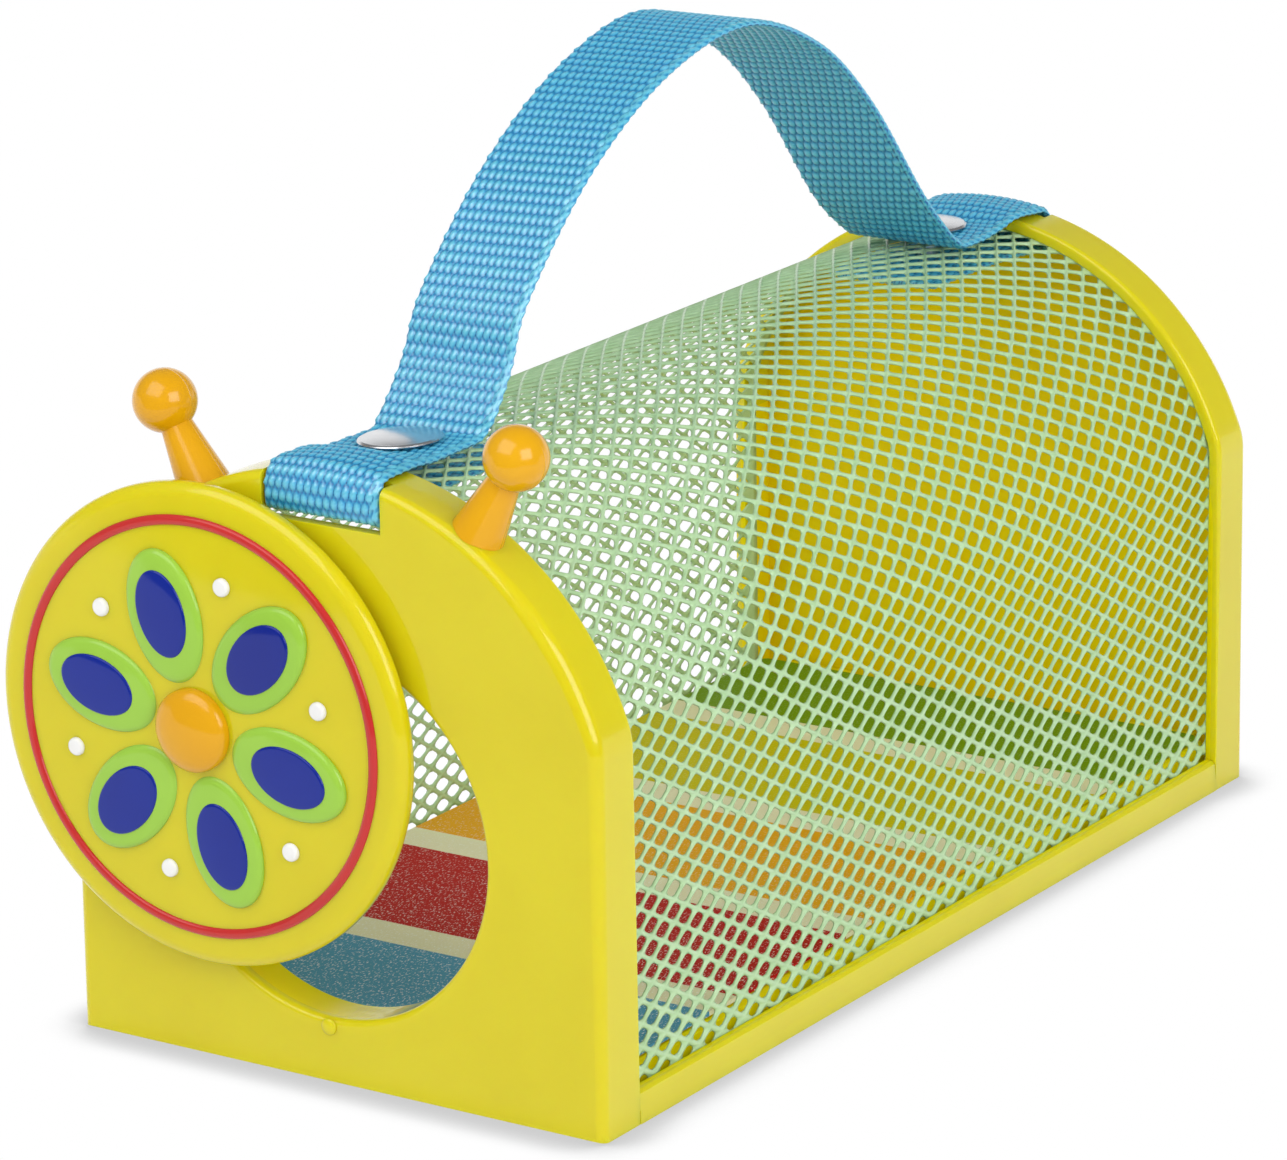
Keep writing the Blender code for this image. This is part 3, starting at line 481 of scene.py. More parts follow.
def make_panel(name, face_y, inward, doorway):
    work = bare_object(name, panel_shell(face_y, inward))
    bm = bmesh.new()
    low, high = sorted((face_y - inward * 0.001, face_y + inward * NOTCH_DEPTH))
    block(bm, (-NOTCH_HALF, low, NOTCH_FLOOR_Z), (NOTCH_HALF, high, 0.115))
    machine(work, bm, 'DIFFERENCE')
    soften_notch(work)
    bm = bmesh.new()
    for side in (-1, 1):
        turned(bm, [(0, -0.0005), (0.0040, -0.0005), (0.0018, 0.0019), (0.0018, 0.0035),
                    (0, 0.0035)], 32,
               Matrix.Translation((side * SCREW_X, face_y + inward * SCREW_FROM_END, 0)))
    machine(work, bm, 'DIFFERENCE')
    if doorway:
        seat = Matrix.Translation((DOORWAY_X, face_y, DOORWAY_Z)) @ FACE_FRONT
        wide = DOORWAY_RADIUS + COLLAR_WALL
        bm = bmesh.new()
        turned(bm, [(0, -COLLAR_DEPTH), (wide, -COLLAR_DEPTH), (wide, -0.001), (0, -0.001)], 128, seat)
        machine(work, bm, 'UNION')
        bm = bmesh.new()
        lip = [(DOORWAY_RADIUS + DOORWAY_LIP * (1 - math.cos(math.pi / 2 * i / 6)),
                -DOORWAY_LIP * (1 - math.sin(math.pi / 2 * i / 6))) for i in range(7)]
        turned(bm, [(0, -0.0095), (DOORWAY_RADIUS, -0.0095)] + lip
               + [(DOORWAY_RADIUS + DOORWAY_LIP, 0.001), (0, 0.001)], 128, seat)
        turned(bm, [(0, -0.004), (PIVOT_HOLE, -0.004), (PIVOT_HOLE, 0.001), (0, 0.001)], 32,
               Matrix.Translation((DOORWAY_X, face_y, PIVOT_Z)) @ FACE_FRONT)
        machine(work, bm, 'DIFFERENCE')
        bm = bmesh.new()
        nub = [(DETENT_RADIUS * x, 0.0001 + DETENT_RISE * z) for x, z in arc((0, 0), 1, 0, 80, 6)]
        turned(bm, [(0, -0.001)] + nub + [(0, 0.0001 + DETENT_RISE)], 24,
               Matrix.Translation((DOORWAY_X, face_y, DETENT_Z)) @ FACE_FRONT)
        machine(work, bm, 'UNION')
    panel = show(name + "_moulding", finished_mesh(work, name + "_moulding", 32), yellow_gloss)
    level_faces(panel)
    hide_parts(name)


make_panel("front_panel", FRONT, 1, True)
make_panel("rear_panel", REAR, -1, False)


# Base screws: four small countersunk steel screws with a cross recess, driven
# up through the feet of the end panels into the tray's tongues.

def bright_metal(name, colour, roughness, streaks):
    """Bare metal with fine scratches that catch the light."""
    finish, tree, shader = blank_finish(name)
    place = add_node(tree, 'ShaderNodeTexCoord')
    tone = colour_steps(tree, ((0.3, tuple(0.86 * c for c in colour)), (0.7, colour)))
    tree.links.new(noise(tree, place, 180.0, 3.0), tone.inputs["Fac"])
    wire(tree, tone, "Color", shader, "Base Color")
    stretch = add_node(tree, 'ShaderNodeMapping')
    stretch.inputs["Scale"].default_value = (400.0, 6000.0, 400.0)
    wire(tree, place, "Object", stretch, "Vector")
    scratch = noise(tree, stretch, 1.0, 4.0, "Vector")
    tree.links.new(spread(tree, scratch, roughness * 0.7, roughness * 1.4), shader.inputs["Roughness"])
    relief(tree, shader, scratch, streaks, 0.00005)
    shader.inputs["Metallic"].default_value = 1.0
    return finish


RECESS_HALF, RECESS_SLOT, RECESS_TOP = 0.0016, 0.0003, 0.0012
bright_steel = bright_metal("bright_steel", (0.76, 0.77, 0.79), 0.22, 0.15)
for number in (1, 2, 3, 4):
    low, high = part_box("base_screw_%d" % number)
    middle = (low + high) / 2
    bm = bmesh.new()
    turned(bm, [(0, 0.0003), (0.0026, 0.0003), (0.0028, 0.0005), (0.0013, 0.0019),
                (0.0013, 0.0060), (0.0004, 0.0070), (0, 0.0070)], 32,
           Matrix.Translation((middle.x, middle.y, 0)))
    work = bare_object("base_screw", bm)
    for wide, deep in ((RECESS_HALF, RECESS_SLOT), (RECESS_SLOT, RECESS_HALF)):
        bm = bmesh.new()
        block(bm, (middle.x - wide, middle.y - deep, 0), (middle.x + wide, middle.y + deep, RECESS_TOP))
        machine(work, bm, 'DIFFERENCE')
    screw = show("base_screw_%d_driven" % number,
                 finished_mesh(work, "base_screw_%d_driven" % number, 35), bright_steel)
    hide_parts("base_screw_%d" % number)


# Screen: one sheet of expanded metal, slit and drawn out into small slanted
# openings, dipped in pale green coating and bent over into an arch.  Its ends
# sit inside the panels' rims and its long edges in the rails' grooves.

SCREEN_HALF = 0.0512
SCREEN_RADIUS = 0.0538
SCREEN_BEND = 0.0300
SCREEN_THICK = 0.00066
SCREEN_END = 0.0077
SCREEN_LOW = 0.0030
KNOT = (-0.001740, 0.000752)
LONG = (0.006919, 0.000297)
SHORT = (-0.000018, 0.004019)
STRAND_EDGE = 0.730
STRAND_SHOULDER = 0.780
HIGH_OPENINGS = 0.045
LOW_OPENINGS = -0.090
GROW_HEIGHTS = (0.015, 0.045)
SHRINK_HEIGHTS = (0.016, 0.006)
OVAL_HEIGHTS = (0.045, 0.015)
LEAST_OVAL = 0.35
EDGE_DEPTH = 0.00048
SHOULDER_DEPTH = 0.00014
STRAND_LEAN = 0.00024
FRONT_RIVET = (0.0, 0.0231)
REAR_RIVET = (-0.0012, 0.0251)
RIVET_HOLE = 0.0037

bend_x = SCREEN_HALF - SCREEN_BEND
bend_rise = math.sqrt((SCREEN_RADIUS - SCREEN_BEND) ** 2 - bend_x ** 2)
bend_angle = math.atan2(bend_rise, bend_x)
upright = ARCH_CENTRE_Z + bend_rise
crown_s = upright + SCREEN_BEND * bend_angle + SCREEN_RADIUS * (math.pi / 2 - bend_angle)


def on_screen(y, s, depth):
    """Place of a point at length y and path height s, sunk below the outer face."""
    side = 1 if s <= crown_s else -1
    s = min(s, 2 * crown_s - s)
    angle = (s - upright) / SCREEN_BEND
    if s <= upright:
        x, z = SCREEN_HALF - depth, s
    elif angle <= bend_angle:
        x = bend_x + (SCREEN_BEND - depth) * math.cos(angle)
        z = upright + (SCREEN_BEND - depth) * math.sin(angle)
    else:
        angle = math.pi / 2 - (crown_s - s) / SCREEN_RADIUS
        x = (SCREEN_RADIUS - depth) * math.cos(angle)
        z = ARCH_CENTRE_Z + (SCREEN_RADIUS - depth) * math.sin(angle)
    return (side * x, FRONT + y, z)


# Rim of an opening, in shares of its two half diagonals, with the corner of
# the cell that each point of the rim looks towards.
OPENING = ((0.845, 0.00, 0), (0.725, 0.285, 0), (0.115, 0.905, 1), (-0.115, 0.905, 1),
           (-0.725, 0.285, 2), (-0.845, 0.00, 2), (-0.725, -0.285, 2), (-0.115, -0.905, 3),
           (0.115, -0.905, 3), (0.725, -0.285, 0))
Y_LOW, Y_HIGH = SCREEN_END, REAR - FRONT - SCREEN_END
S_LOW, S_HIGH = SCREEN_LOW, 2 * crown_s - SCREEN_LOW
points = []
faces = []
knot_at = {}
open_edges = {}


def knot(m, n):
    """Top and bottom vertex where two strands cross; m and n count half diagonals."""
    if (m, n) not in knot_at:
        y = KNOT[0] + m * LONG[0] / 2 + n * SHORT[0] / 2
        s = KNOT[1] + m * LONG[1] / 2 + n * SHORT[1] / 2
        inside = Y_LOW <= y <= Y_HIGH and S_LOW <= s <= S_HIGH
        y = min(max(y, Y_LOW), Y_HIGH)
        s = min(max(s, S_LOW), S_HIGH)
        knot_at[(m, n)] = (len(points), y, s, inside)
        points.append(on_screen(y, s, 0))
        points.append(on_screen(y, s, SCREEN_THICK))
    return knot_at[(m, n)]


def share_between(value, ends):
    """How far a value is on its way from the first end to the second, 0 to 1."""
    return min(max((value - ends[0]) / (ends[1] - ends[0]), 0), 1)


# Enough half diagonals to pass every edge of the sheet.
for m in range(-2, 68):
    for n in range(-6, 140):
        if (m + n) % 2 == 0:
            continue
        corners = [knot(m + 1, n), knot(m, n + 1), knot(m - 1, n), knot(m, n - 1)]
        area = sum(a[1] * b[2] - b[1] * a[2] for a, b in zip(corners, corners[1:] + corners[:1]))
        if area < 2e-8:
            continue
        y = KNOT[0] + m * LONG[0] / 2 + n * SHORT[0] / 2
        s = KNOT[1] + m * LONG[1] / 2 + n * SHORT[1] / 2
        if any(math.hypot(s - crown_s + x, y - rivet_y) < RIVET_HOLE
               for x, rivet_y in (FRONT_RIVET, (REAR_RIVET[0], REAR - FRONT - REAR_RIVET[1]))):
            continue
        for a, b in zip(corners, corners[1:] + corners[:1]):
            if (a[1], a[2]) != (b[1], b[2]):
                open_edges[(a[0], b[0])] = True
        if not all(c[3] for c in corners):
            ring = [c[0] for i, c in enumerate(corners)
                    if (c[1], c[2]) != (corners[i - 1][1], corners[i - 1][2])]
            if len(ring) > 2:
                faces.append(ring)
                faces.append([i + 1 for i in reversed(ring)])
            continue
        start = len(points)
        height = min(s, 2 * crown_s - s)
        wider = (HIGH_OPENINGS * share_between(height, GROW_HEIGHTS)
                 + LOW_OPENINGS * share_between(height, SHRINK_HEIGHTS))
        oval = max(share_between(height, OVAL_HEIGHTS), LEAST_OVAL)
        for share, depth, lean in ((STRAND_SHOULDER + wider, SHOULDER_DEPTH, STRAND_LEAN),
                                   (STRAND_EDGE + wider, EDGE_DEPTH, STRAND_LEAN / 2)):
            for u, v, _ in OPENING:
                if abs(v) > 0.5:
                    u, v = u * (1 + oval), v * (1 - 0.10 * oval)
                else:
                    u, v = u * (1 - 0.045 * oval), v * (1 + 0.12 * oval)
                points.append(on_screen(
                    y + share * (u * LONG[0] + v * SHORT[0]) / 2,
                    s + share * (u * LONG[1] + v * SHORT[1]) / 2, depth + lean * max(u, 0)))
        for i in range(10):
            k = (i + 1) % 10
            a, b = corners[OPENING[i][2]][0], corners[OPENING[k][2]][0]
            top = [a, start + i, start + k] if a == b else [a, start + i, start + k, b]
            low = [a + 1, start + 10 + i, start + 10 + k]
            low = low if a == b else low + [b + 1]
            faces.append(list(reversed(top)))
            faces.append([start + k, start + i, start + 10 + i, start + 10 + k][::-1])
            faces.append(low)
for a, b in open_edges:
    if (b, a) not in open_edges:
        faces.append([b, a, a + 1, b + 1])
mesh = bpy.data.meshes.new("expanded_screen")
mesh.from_pydata(points, [], faces)
bm = bmesh.new()
bm.from_mesh(mesh)
bmesh.ops.delete(bm, geom=[v for v in bm.verts if not v.link_faces], context='VERTS')
bmesh.ops.recalc_face_normals(bm, faces=bm.faces)
bm.to_mesh(mesh)
bm.free()
mesh.shade_smooth()

green_coat, tree, shader = blank_finish("pale_green_coating")
place = add_node(tree, 'ShaderNodeTexCoord')
pooling = noise(tree, place, 300.0, 3.0)
tone = colour_steps(tree, ((0.30, (0.405, 0.615, 0.325)), (0.70, (0.505, 0.710, 0.420))))
tree.links.new(pooling, tone.inputs["Fac"])
wire(tree, tone, "Color", shader, "Base Color")
relief(tree, shader, noise(tree, place, 1400.0, 2.0), 0.12, 0.0001)
tree.links.new(spread(tree, pooling, 0.16, 0.28), shader.inputs["Roughness"])
screen = show("expanded_metal_screen", mesh, green_coat)
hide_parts("mesh_screen")
screen.visible_shadow = False


# Door: a domed yellow disc that swings on a screw above the doorway, on a thin
# spacer.  Its front carries a six-petal flower of raised pads inside a ring.

DOOR_RADIUS = 0.0417
DOOR_BACK = 0.0020
DOOR_EDGE = 0.0032
DOOR_ROUND = 0.0026
DOOR_CROWN = 0.0012
PIVOT_TO_CENTRE = 0.0306
DOOR_OPEN = math.radians(44.0)
hinge = (Matrix.Translation((DOORWAY_X, FRONT, PIVOT_Z)) @ Matrix.Rotation(DOOR_OPEN, 4, 'Y')
         @ Matrix.Translation((0, 0, -PIVOT_TO_CENTRE)) @ FACE_FRONT)


def door_front(radius):
    inner = DOOR_RADIUS - DOOR_ROUND
    return DOOR_BACK + DOOR_EDGE + DOOR_CROWN * (1 - (min(radius, inner) / inner) ** 2)


def turned_piece(name, profile, steps, place, look, body, crease=40, seam=0.0):
    bm = bmesh.new()
    turned(bm, profile, steps, place, seam)
    bmesh.ops.recalc_face_normals(bm, faces=bm.faces)
    return show(name, smooth_mesh(bm, name, crease), look, body)


edge_low = 0.0014
rim = [(DOOR_RADIUS - DOOR_ROUND * (1 - math.cos(math.pi / 2 * i / 10)),
        DOOR_BACK + edge_low + (DOOR_EDGE - edge_low) * math.sin(math.pi / 2 * i / 10))
       for i in range(11)]
dome = [((DOOR_RADIUS - DOOR_ROUND) * (1 - i / 12), door_front((DOOR_RADIUS - DOOR_ROUND) * (1 - i / 12)))
        for i in range(1, 13)]
profile = [(0, DOOR_BACK), (DOOR_RADIUS - 0.0006, DOOR_BACK), (DOOR_RADIUS - 0.0002, DOOR_BACK + 0.0002),
           (DOOR_RADIUS, DOOR_BACK + 0.0006)] + rim + dome
door = turned_piece("door_disc", profile, 144, hinge, yellow_gloss, "door")
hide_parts("door")

lime_pad = moulded_plastic("lime_pad", (0.330, 0.590, 0.060), (0.300, 0.550, 0.050))
blue_pad = moulded_plastic("blue_pad", (0.000, 0.016, 0.270), (0.000, 0.012, 0.230))
white_pad = moulded_plastic("white_dots", (0.86, 0.86, 0.85), (0.80, 0.80, 0.79), (0.20, 0.30))
red_line = moulded_plastic("red_ring", (0.560, 0.028, 0.026), (0.500, 0.020, 0.020), (0.18, 0.28))
orange_gloss = moulded_plastic("orange_gloss_moulding", (0.750, 0.380, 0.003), (0.720, 0.340, 0.002),
                               (0.20, 0.26), waviness=0.01, coat_roughness=0.10)


def flower_part(name, spots, profile, steps, look):
    """Like pads, each (spin, reach, wide, long, sink), joined in one piece on the door."""
    bm = bmesh.new()
    for spin, reach, wide, tall, lift in spots:
        place = (hinge @ Matrix.Rotation(spin, 4, 'Z') @ Matrix.Translation((0, reach, lift))
                 @ Matrix.Diagonal((wide, tall, 1, 1)))
        turned(bm, profile, steps, place)
    bmesh.ops.recalc_face_normals(bm, faces=bm.faces)
    return show(name, smooth_mesh(bm, name, 60), look, "door")


PETALS = 6
PETAL_REACH = 0.0195
turns = [math.tau * i / PETALS for i in range(PETALS)]
seat = door_front(PETAL_REACH)
pad = ([(0, -0.0012), (0.0098, -0.0012), (0.0098, 0.0002)]
       + [(0.0098 - 0.0016 * (1 - math.cos(math.pi / 2 * i / 6)),
           0.0002 + 0.0009 * math.sin(math.pi / 2 * i / 6))
          for i in range(1, 7)] + [(0.0050, 0.00140), (0, 0.00150)])
flower_part("door_petals", [(t, PETAL_REACH, 0.76, 1.18, seat - 0.0003) for t in turns], pad, 56, lime_pad)
drop = ([(0, -0.0008), (0.0066, -0.0008), (0.0066, 0.0000)]
        + [(0.0066 - 0.0005 * (1 - math.cos(math.pi / 2 * i / 4)), 0.0003 * math.sin(math.pi / 2 * i / 4))
           for i in range(1, 5)] + [(0.0030, 0.00036), (0, 0.00040)])
flower_part("door_petal_hearts", [(t, PETAL_REACH + 0.0006, 0.74, 1.14, seat + 0.0010) for t in turns],
            drop, 48, blue_pad)
dot = ([(0, -0.0015), (0.0016, -0.0015), (0.0016, 0.0004)]
       + arc((0.0010, 0.0004), 0.0006, 0, 90, 5)[1:] + [(0, 0.00105)])
flower_part("door_dots", [(t + math.pi / PETALS, 0.0262, 1, 1, door_front(0.0262) - 0.0002) for t in turns],
            dot, 28, white_pad)
bloom = ([(0, -0.0010), (0.0072, -0.0010), (0.0072, 0.0008)]
         + [(0.0072 * math.cos(math.pi / 2 * i / 10), 0.0008 + 0.0025 * math.sin(math.pi / 2 * i / 10))
            for i in range(1, 10)] + [(0, 0.0033)])
heart = flower_part("door_bloom_centre", [(0, 0, 1, 1, door_front(0))], bloom, 56, orange_gloss)

RING_RADIUS = 0.0356
bm = bmesh.new()
ring_seat = door_front(RING_RADIUS)
section = [(-0.0009, -0.0006), (0.0009, -0.0006)] + [(0.0009 * math.cos(math.pi * i / 8),
           0.0006 * math.sin(math.pi * i / 8)) for i in range(9)]
loops = [[bm.verts.new(hinge @ Vector(((RING_RADIUS + a) * math.cos(math.tau * i / 144),
                                       (RING_RADIUS + a) * math.sin(math.tau * i / 144), ring_seat + b)))
          for i in range(144)] for a, b in section]
for n in range(len(loops)):
    low, high = loops[n], loops[(n + 1) % len(loops)]
    for i in range(144):
        k = (i + 1) % 144
        bm.faces.new((low[i], low[k], high[k], high[i]))
bmesh.ops.recalc_face_normals(bm, faces=bm.faces)
show("door_ring", smooth_mesh(bm, "door_ring", 50), red_line, "door")
dress("door_pivot_screw", bright_steel)
dress("door_pivot_spacer", yellow_gloss)


# Feelers: two orange mouldings, each a ball on a tapered stalk, pegged through
# the crown of the front panel.  A fine parting line runs over each ball.

FEELER_ANGLE = math.radians(29.5)
FEELER_BALL = 0.0055
FEELER_BASE = 0.0046
FEELER_NECK = 0.0028
FEELER_LENGTH = 0.0153
FEELER_FOOT = 0.0022
PARTING_LINE = 0.010
neck_angle = math.pi - math.asin(FEELER_NECK / FEELER_BALL)
neck_z = FEELER_LENGTH + FEELER_BALL * math.cos(neck_angle)
foot = FEELER_BASE + (FEELER_BASE - FEELER_NECK) * FEELER_FOOT / neck_z
profile = [(0, -0.0042), (0.0016, -0.0042), (0.0020, -0.0036), (0.0020, -FEELER_FOOT)]
profile += [(foot + (FEELER_NECK - foot) * i / 9, -FEELER_FOOT + (neck_z + FEELER_FOOT) * i / 9)
            for i in range(9)]
turns = [neck_angle * (1 - i / 28) for i in range(28)]
profile += [(FEELER_BALL * math.sin(t), FEELER_LENGTH + FEELER_BALL * math.cos(t)) for t in turns]
profile.append((0, FEELER_LENGTH + FEELER_BALL))
for name, side in (("antenna_left", -1), ("antenna_right", 1)):
    seat = (Matrix.Translation((0, FRONT + PANEL_DEPTH / 2, ARCH_CENTRE_Z))
            @ Matrix.Rotation(side * FEELER_ANGLE, 4, 'Y') @ Matrix.Translation((0, 0, ARCH_RADIUS)))
    feeler = turned_piece(name + "_moulding", profile, 72, seat, orange_gloss, "house", 45, PARTING_LINE)
    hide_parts(name)


# Handle: one length of blue plain-woven webbing.  Each end goes in under the
# screen, comes out through a panel's notch and back over the rim, where a rivet
# holds both layers to the screen; the middle stands up in a bow.

STRAP_WIDTH = 0.0232
STRAP_HALF = 0.00075
STRAP_TAIL = 0.0440
STRAP_TAIL_Z = 0.09995
STRAP_FLAT_Z = 0.1052
STRAP_CROWN = 0.0012
LOOP_FRONT = 0.0001
LOOP_LOW_Z = 0.0986
LOOP_TOP_Z = 0.1072
LOOP_LOW_ROUND = 0.0020
LOOP_TOP_ROUND = 0.0042
FRONT_ROLL = 0.06
WARPS = 31
PICK = 0.00217
STEPS_PER_PICK = 4
CRIMP = 0.00028
VALLEY = 0.00018
LEAN = 0.00022
SCALLOP = 0.00034


def strap_loop(end, inward, rivet, roll, top_run):
    """Stations of the band from its tail, round the rim and back to the rivet: place,
    height, slope across the band and rise of its middle."""
    tail = STRAP_TAIL_Z
    stations = [(STRAP_TAIL, tail, -roll, 0), (0.034, tail, -roll, 0), (rivet, tail, -roll, 0),
                (0.015, tail - 0.0003, -roll / 2, 0), (0.009, tail - 0.0009, 0, 0)]
    for i, (y, z) in enumerate(arc((LOOP_FRONT + LOOP_LOW_ROUND, LOOP_LOW_Z + LOOP_LOW_ROUND),
                                   LOOP_LOW_ROUND, 270, 180, 8)):
        stations.append((y, z, 0, STRAP_CROWN * (i / 8 * 0.6 - 0.2)))
    for i, (y, z) in enumerate(arc((LOOP_FRONT + LOOP_TOP_ROUND, LOOP_TOP_Z - LOOP_TOP_ROUND),
                                   LOOP_TOP_ROUND, 180, 90, 12)):
        stations.append((y, z, 0, STRAP_CROWN * (0.5 + i / 24)))
    stations += [(y / 1000, z / 1000, slope, rise / 1000) for y, z, slope, rise in top_run]
    stations.append((rivet, STRAP_FLAT_Z, roll, 0))
    return [Vector((end + inward * y, z, slope, rise)) for y, z, slope, rise in stations]


def smooth_route(held, per_span):
    """Smooth curve through a few held points."""
    ends = [2 * held[0] - held[1]] + held + [2 * held[-1] - held[-2]]
    route = []
    for p0, p1, p2, p3 in zip(ends, ends[1:], ends[2:], ends[3:]):
        for i in range(per_span):
            t = i / per_span
            route.append(0.5 * (2 * p1 + (p2 - p0) * t + (2 * p0 - 5 * p1 + 4 * p2 - p3) * t * t
                                + (3 * p1 - p0 - 3 * p2 + p3) * t ** 3))
    return route + [held[-1]]


# Runs over each rim and the bow between: millimetres behind the outer face,
# height, how far the right-hand edge rolls outward, and the middle's rise.
FRONT_RUN = ((11.0, 107.2, 0.01, 1.2), (14.2, 106.0, 0.03, 0.4), (15.7, 105.3, 0.05, 0.1))
REAR_RUN = ((11.0, 107.4, 0.03, 1.0), (15.0, 106.5, 0.04, 0.2), (17.6, 105.3, 0.03, -0.5))
BOW = ((30.4, 105.3, 0.07, 0), (32.2, 106.7, 0.05, 0), (34.6, 108.7, 0.04, 0), (39.8, 115.7, 0.06, 0),
       (45.5, 126.1, 0.08, 0), (64.9, 143.7, 0.08, 0), (88.5, 156.1, 0.05, 0), (113.9, 160.5, 0.01, 0),
       (136.8, 152.0, 0.08, 0), (154.4, 138.0, 0.10, 0), (172.2, 117.3, 0.12, 0), (182.7, 108.1, 0.06, 0),
       (185.8, 106.4, 0.03, 0), (188.2, 105.3, 0, -0.1))
front_loop = strap_loop(FRONT, 1, FRONT_RIVET[1], FRONT_ROLL, FRONT_RUN)
rear_loop = strap_loop(REAR, -1, REAR_RIVET[1], 0.0, REAR_RUN)
bow = [Vector((FRONT + y / 1000, z / 1000, slope, rise / 1000)) for y, z, slope, rise in BOW]
route = (front_loop[:-1] + smooth_route([front_loop[-1]] + bow + [rear_loop[-1]], 24)
         + rear_loop[-2::-1])
line = np.array([tuple(p) for p in route])
run = np.concatenate(([0], np.cumsum(np.hypot(np.diff(line[:, 0]), np.diff(line[:, 1])))))
strap_length = run[-1]
picks = int(strap_length / PICK)
count = picks * STEPS_PER_PICK + 1
s = np.linspace(0, strap_length, count)
fine = np.linspace(0, strap_length, 2400)
path = np.stack([np.interp(fine, run, line[:, c]) for c in range(4)], 1)
window = np.hanning(19)
window /= window.sum()
padded = np.pad(path, ((9, 9), (0, 0)), mode='reflect', reflect_type='odd')
path = np.stack([np.convolve(padded[:, c], window, mode='valid') for c in range(4)], 1)
centre = np.stack([np.interp(s, fine, path[:, c]) for c in range(4)], 1)
way = np.gradient(centre[:, :2], axis=0)
way /= np.linalg.norm(way, axis=1, keepdims=True)
outward = np.stack([np.zeros(count), -way[:, 1], way[:, 0]], 1)
across = np.array([1.0, 0, 0]) + centre[:, 2:3] * outward
across /= np.linalg.norm(across, axis=1, keepdims=True)
middle = np.stack([np.zeros(count), centre[:, 0], centre[:, 1]], 1)

# Plain weave: each warp rises over every other pick, its shoulders spread over
# the neighbours that are down there; the right-hand edge has a chained selvedge.
beat = np.arange(count) / STEPS_PER_PICK
pitch = STRAP_WIDTH / WARPS
columns = 2 * WARPS + 1
lift = np.zeros((count, columns))
shift = np.zeros((count, columns))
for j in range(WARPS):
    wave = np.cos(math.pi * (beat + j))
    if j >= WARPS - 2:
        wave = np.cos(math.tau * beat + (WARPS - j) * 2.0)
    wave = np.sign(wave) * np.abs(wave) ** 0.6
    lift[:, 2 * j + 1] = CRIMP * wave
    shift[:, 2 * j + 1] = LEAN * np.sin(math.tau * (beat + j))
    if j < WARPS - 1:
        lift[:, 2 * j + 2] = (0.55 * CRIMP + VALLEY) * np.abs(wave) ** 1.5 - VALLEY
        shift[:, 2 * j + 2] = 0.28 * pitch * wave
# Painted light: each point's lightness comes from its yarn's height, so high yarn is painted paler for its
# sheen and low gaps darker for their shade; the selvedge's stitches are painted paler still, as a painted
# highlight.
yarn_lightness = 0.5 + 0.5 * lift / CRIMP
yarn_lightness[:, -5:] += 0.25
scallop = SCALLOP * (1 - np.cos(math.tau * beat)) / 2
lift[:, 0] = lift[:, -1] = -VALLEY
shift[:, 0] = scallop
shift[:, -1] = -scallop
u = -STRAP_WIDTH / 2 + pitch / 2 * np.arange(columns)
body = STRAP_HALF - CRIMP - 0.00003
edge = 0.35 + 0.65 * np.clip((STRAP_WIDTH / 2 - np.abs(u)) / 0.0009, 0, 1) ** 0.5
bowed = -centre[:, 3:4] * (2 * u / STRAP_WIDTH) ** 2
odd = np.arange(columns) % 2 == 1
under = np.where(odd, -lift, lift)
inner = (np.arange(columns) > 0) & (np.arange(columns) < columns - 1)
rows_top = (middle[:, None, :] + across[:, None, :] * (u + shift)[:, :, None]
            + outward[:, None, :] * (bowed + (body + lift) * edge)[:, :, None])
rows_low = (middle[:, None, :] + across[:, None, :] * (u + np.where(inner, -shift, shift))[:, :, None]
            + outward[:, None, :] * (bowed - (body + under) * edge)[:, :, None])
ring = np.concatenate([rows_top, rows_low[:, ::-1]], 1)
size = 2 * columns
quads = []
for n in range(count - 1):
    for i in range(size):
        k = (i + 1) % size
        quads.append((n * size + i, n * size + k, (n + 1) * size + k, (n + 1) * size + i))
for n in (0, count - 1):
    for i in range(columns - 1):
        quads.append((n * size + i, n * size + i + 1, n * size + size - 2 - i, n * size + size - 1 - i))
mesh = bpy.data.meshes.new("handle_webbing")
mesh.from_pydata(ring.reshape(-1, 3).tolist(), [], quads)
high = np.concatenate([yarn_lightness, np.where(odd, 1 - yarn_lightness, yarn_lightness)[:, ::-1]], 1)
yarn_light_layer = mesh.attributes.new("yarn_sheen_and_shade", 'FLOAT', 'POINT')
yarn_light_layer.data.foreach_set("value", high.astype(np.float32).ravel())
bm = bmesh.new()
bm.from_mesh(mesh)
bmesh.ops.recalc_face_normals(bm, faces=bm.faces)
bm.to_mesh(mesh)
bm.free()
mesh.shade_smooth()

blue_webbing, tree, shader = blank_finish("blue_webbing")
place = add_node(tree, 'ShaderNodeTexCoord')
yarn_light_reader = add_node(tree, 'ShaderNodeAttribute', attribute_name="yarn_sheen_and_shade")
# The ramp paints the light on the weave: low gaps in a deep painted shade, high floats in a pale painted
# sheen.
tone = colour_steps(tree, ((0.15, (0.002, 0.120, 0.410)), (0.50, (0.014, 0.320, 0.620)),
                           (0.90, (0.130, 0.590, 0.800))))
wire(tree, yarn_light_reader, "Fac", tone, "Fac")
patchy = noise(tree, place, 260.0, 3.0).node
worn = add_node(tree, 'ShaderNodeMix', data_type='RGBA', blend_type='MULTIPLY')
worn.inputs[0].default_value = 0.15
wire(tree, tone, "Color", worn, 6)
tree.links.new(patchy.outputs["Color"], worn.inputs[7])
tree.links.new(worn.outputs[2], shader.inputs["Base Color"])
relief(tree, shader, noise(tree, place, 6000.0, 2.0), 0.25, 0.00006)
shader.inputs["Roughness"].default_value = 0.28
shader.inputs["Specular IOR Level"].default_value = 1.0
strap = show("handle_webbing", mesh, blue_webbing)
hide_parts("handle_strap")


# Rivets: domed bright caps on posts that go down through both layers of
# webbing and the screen, clenched over a washer inside.

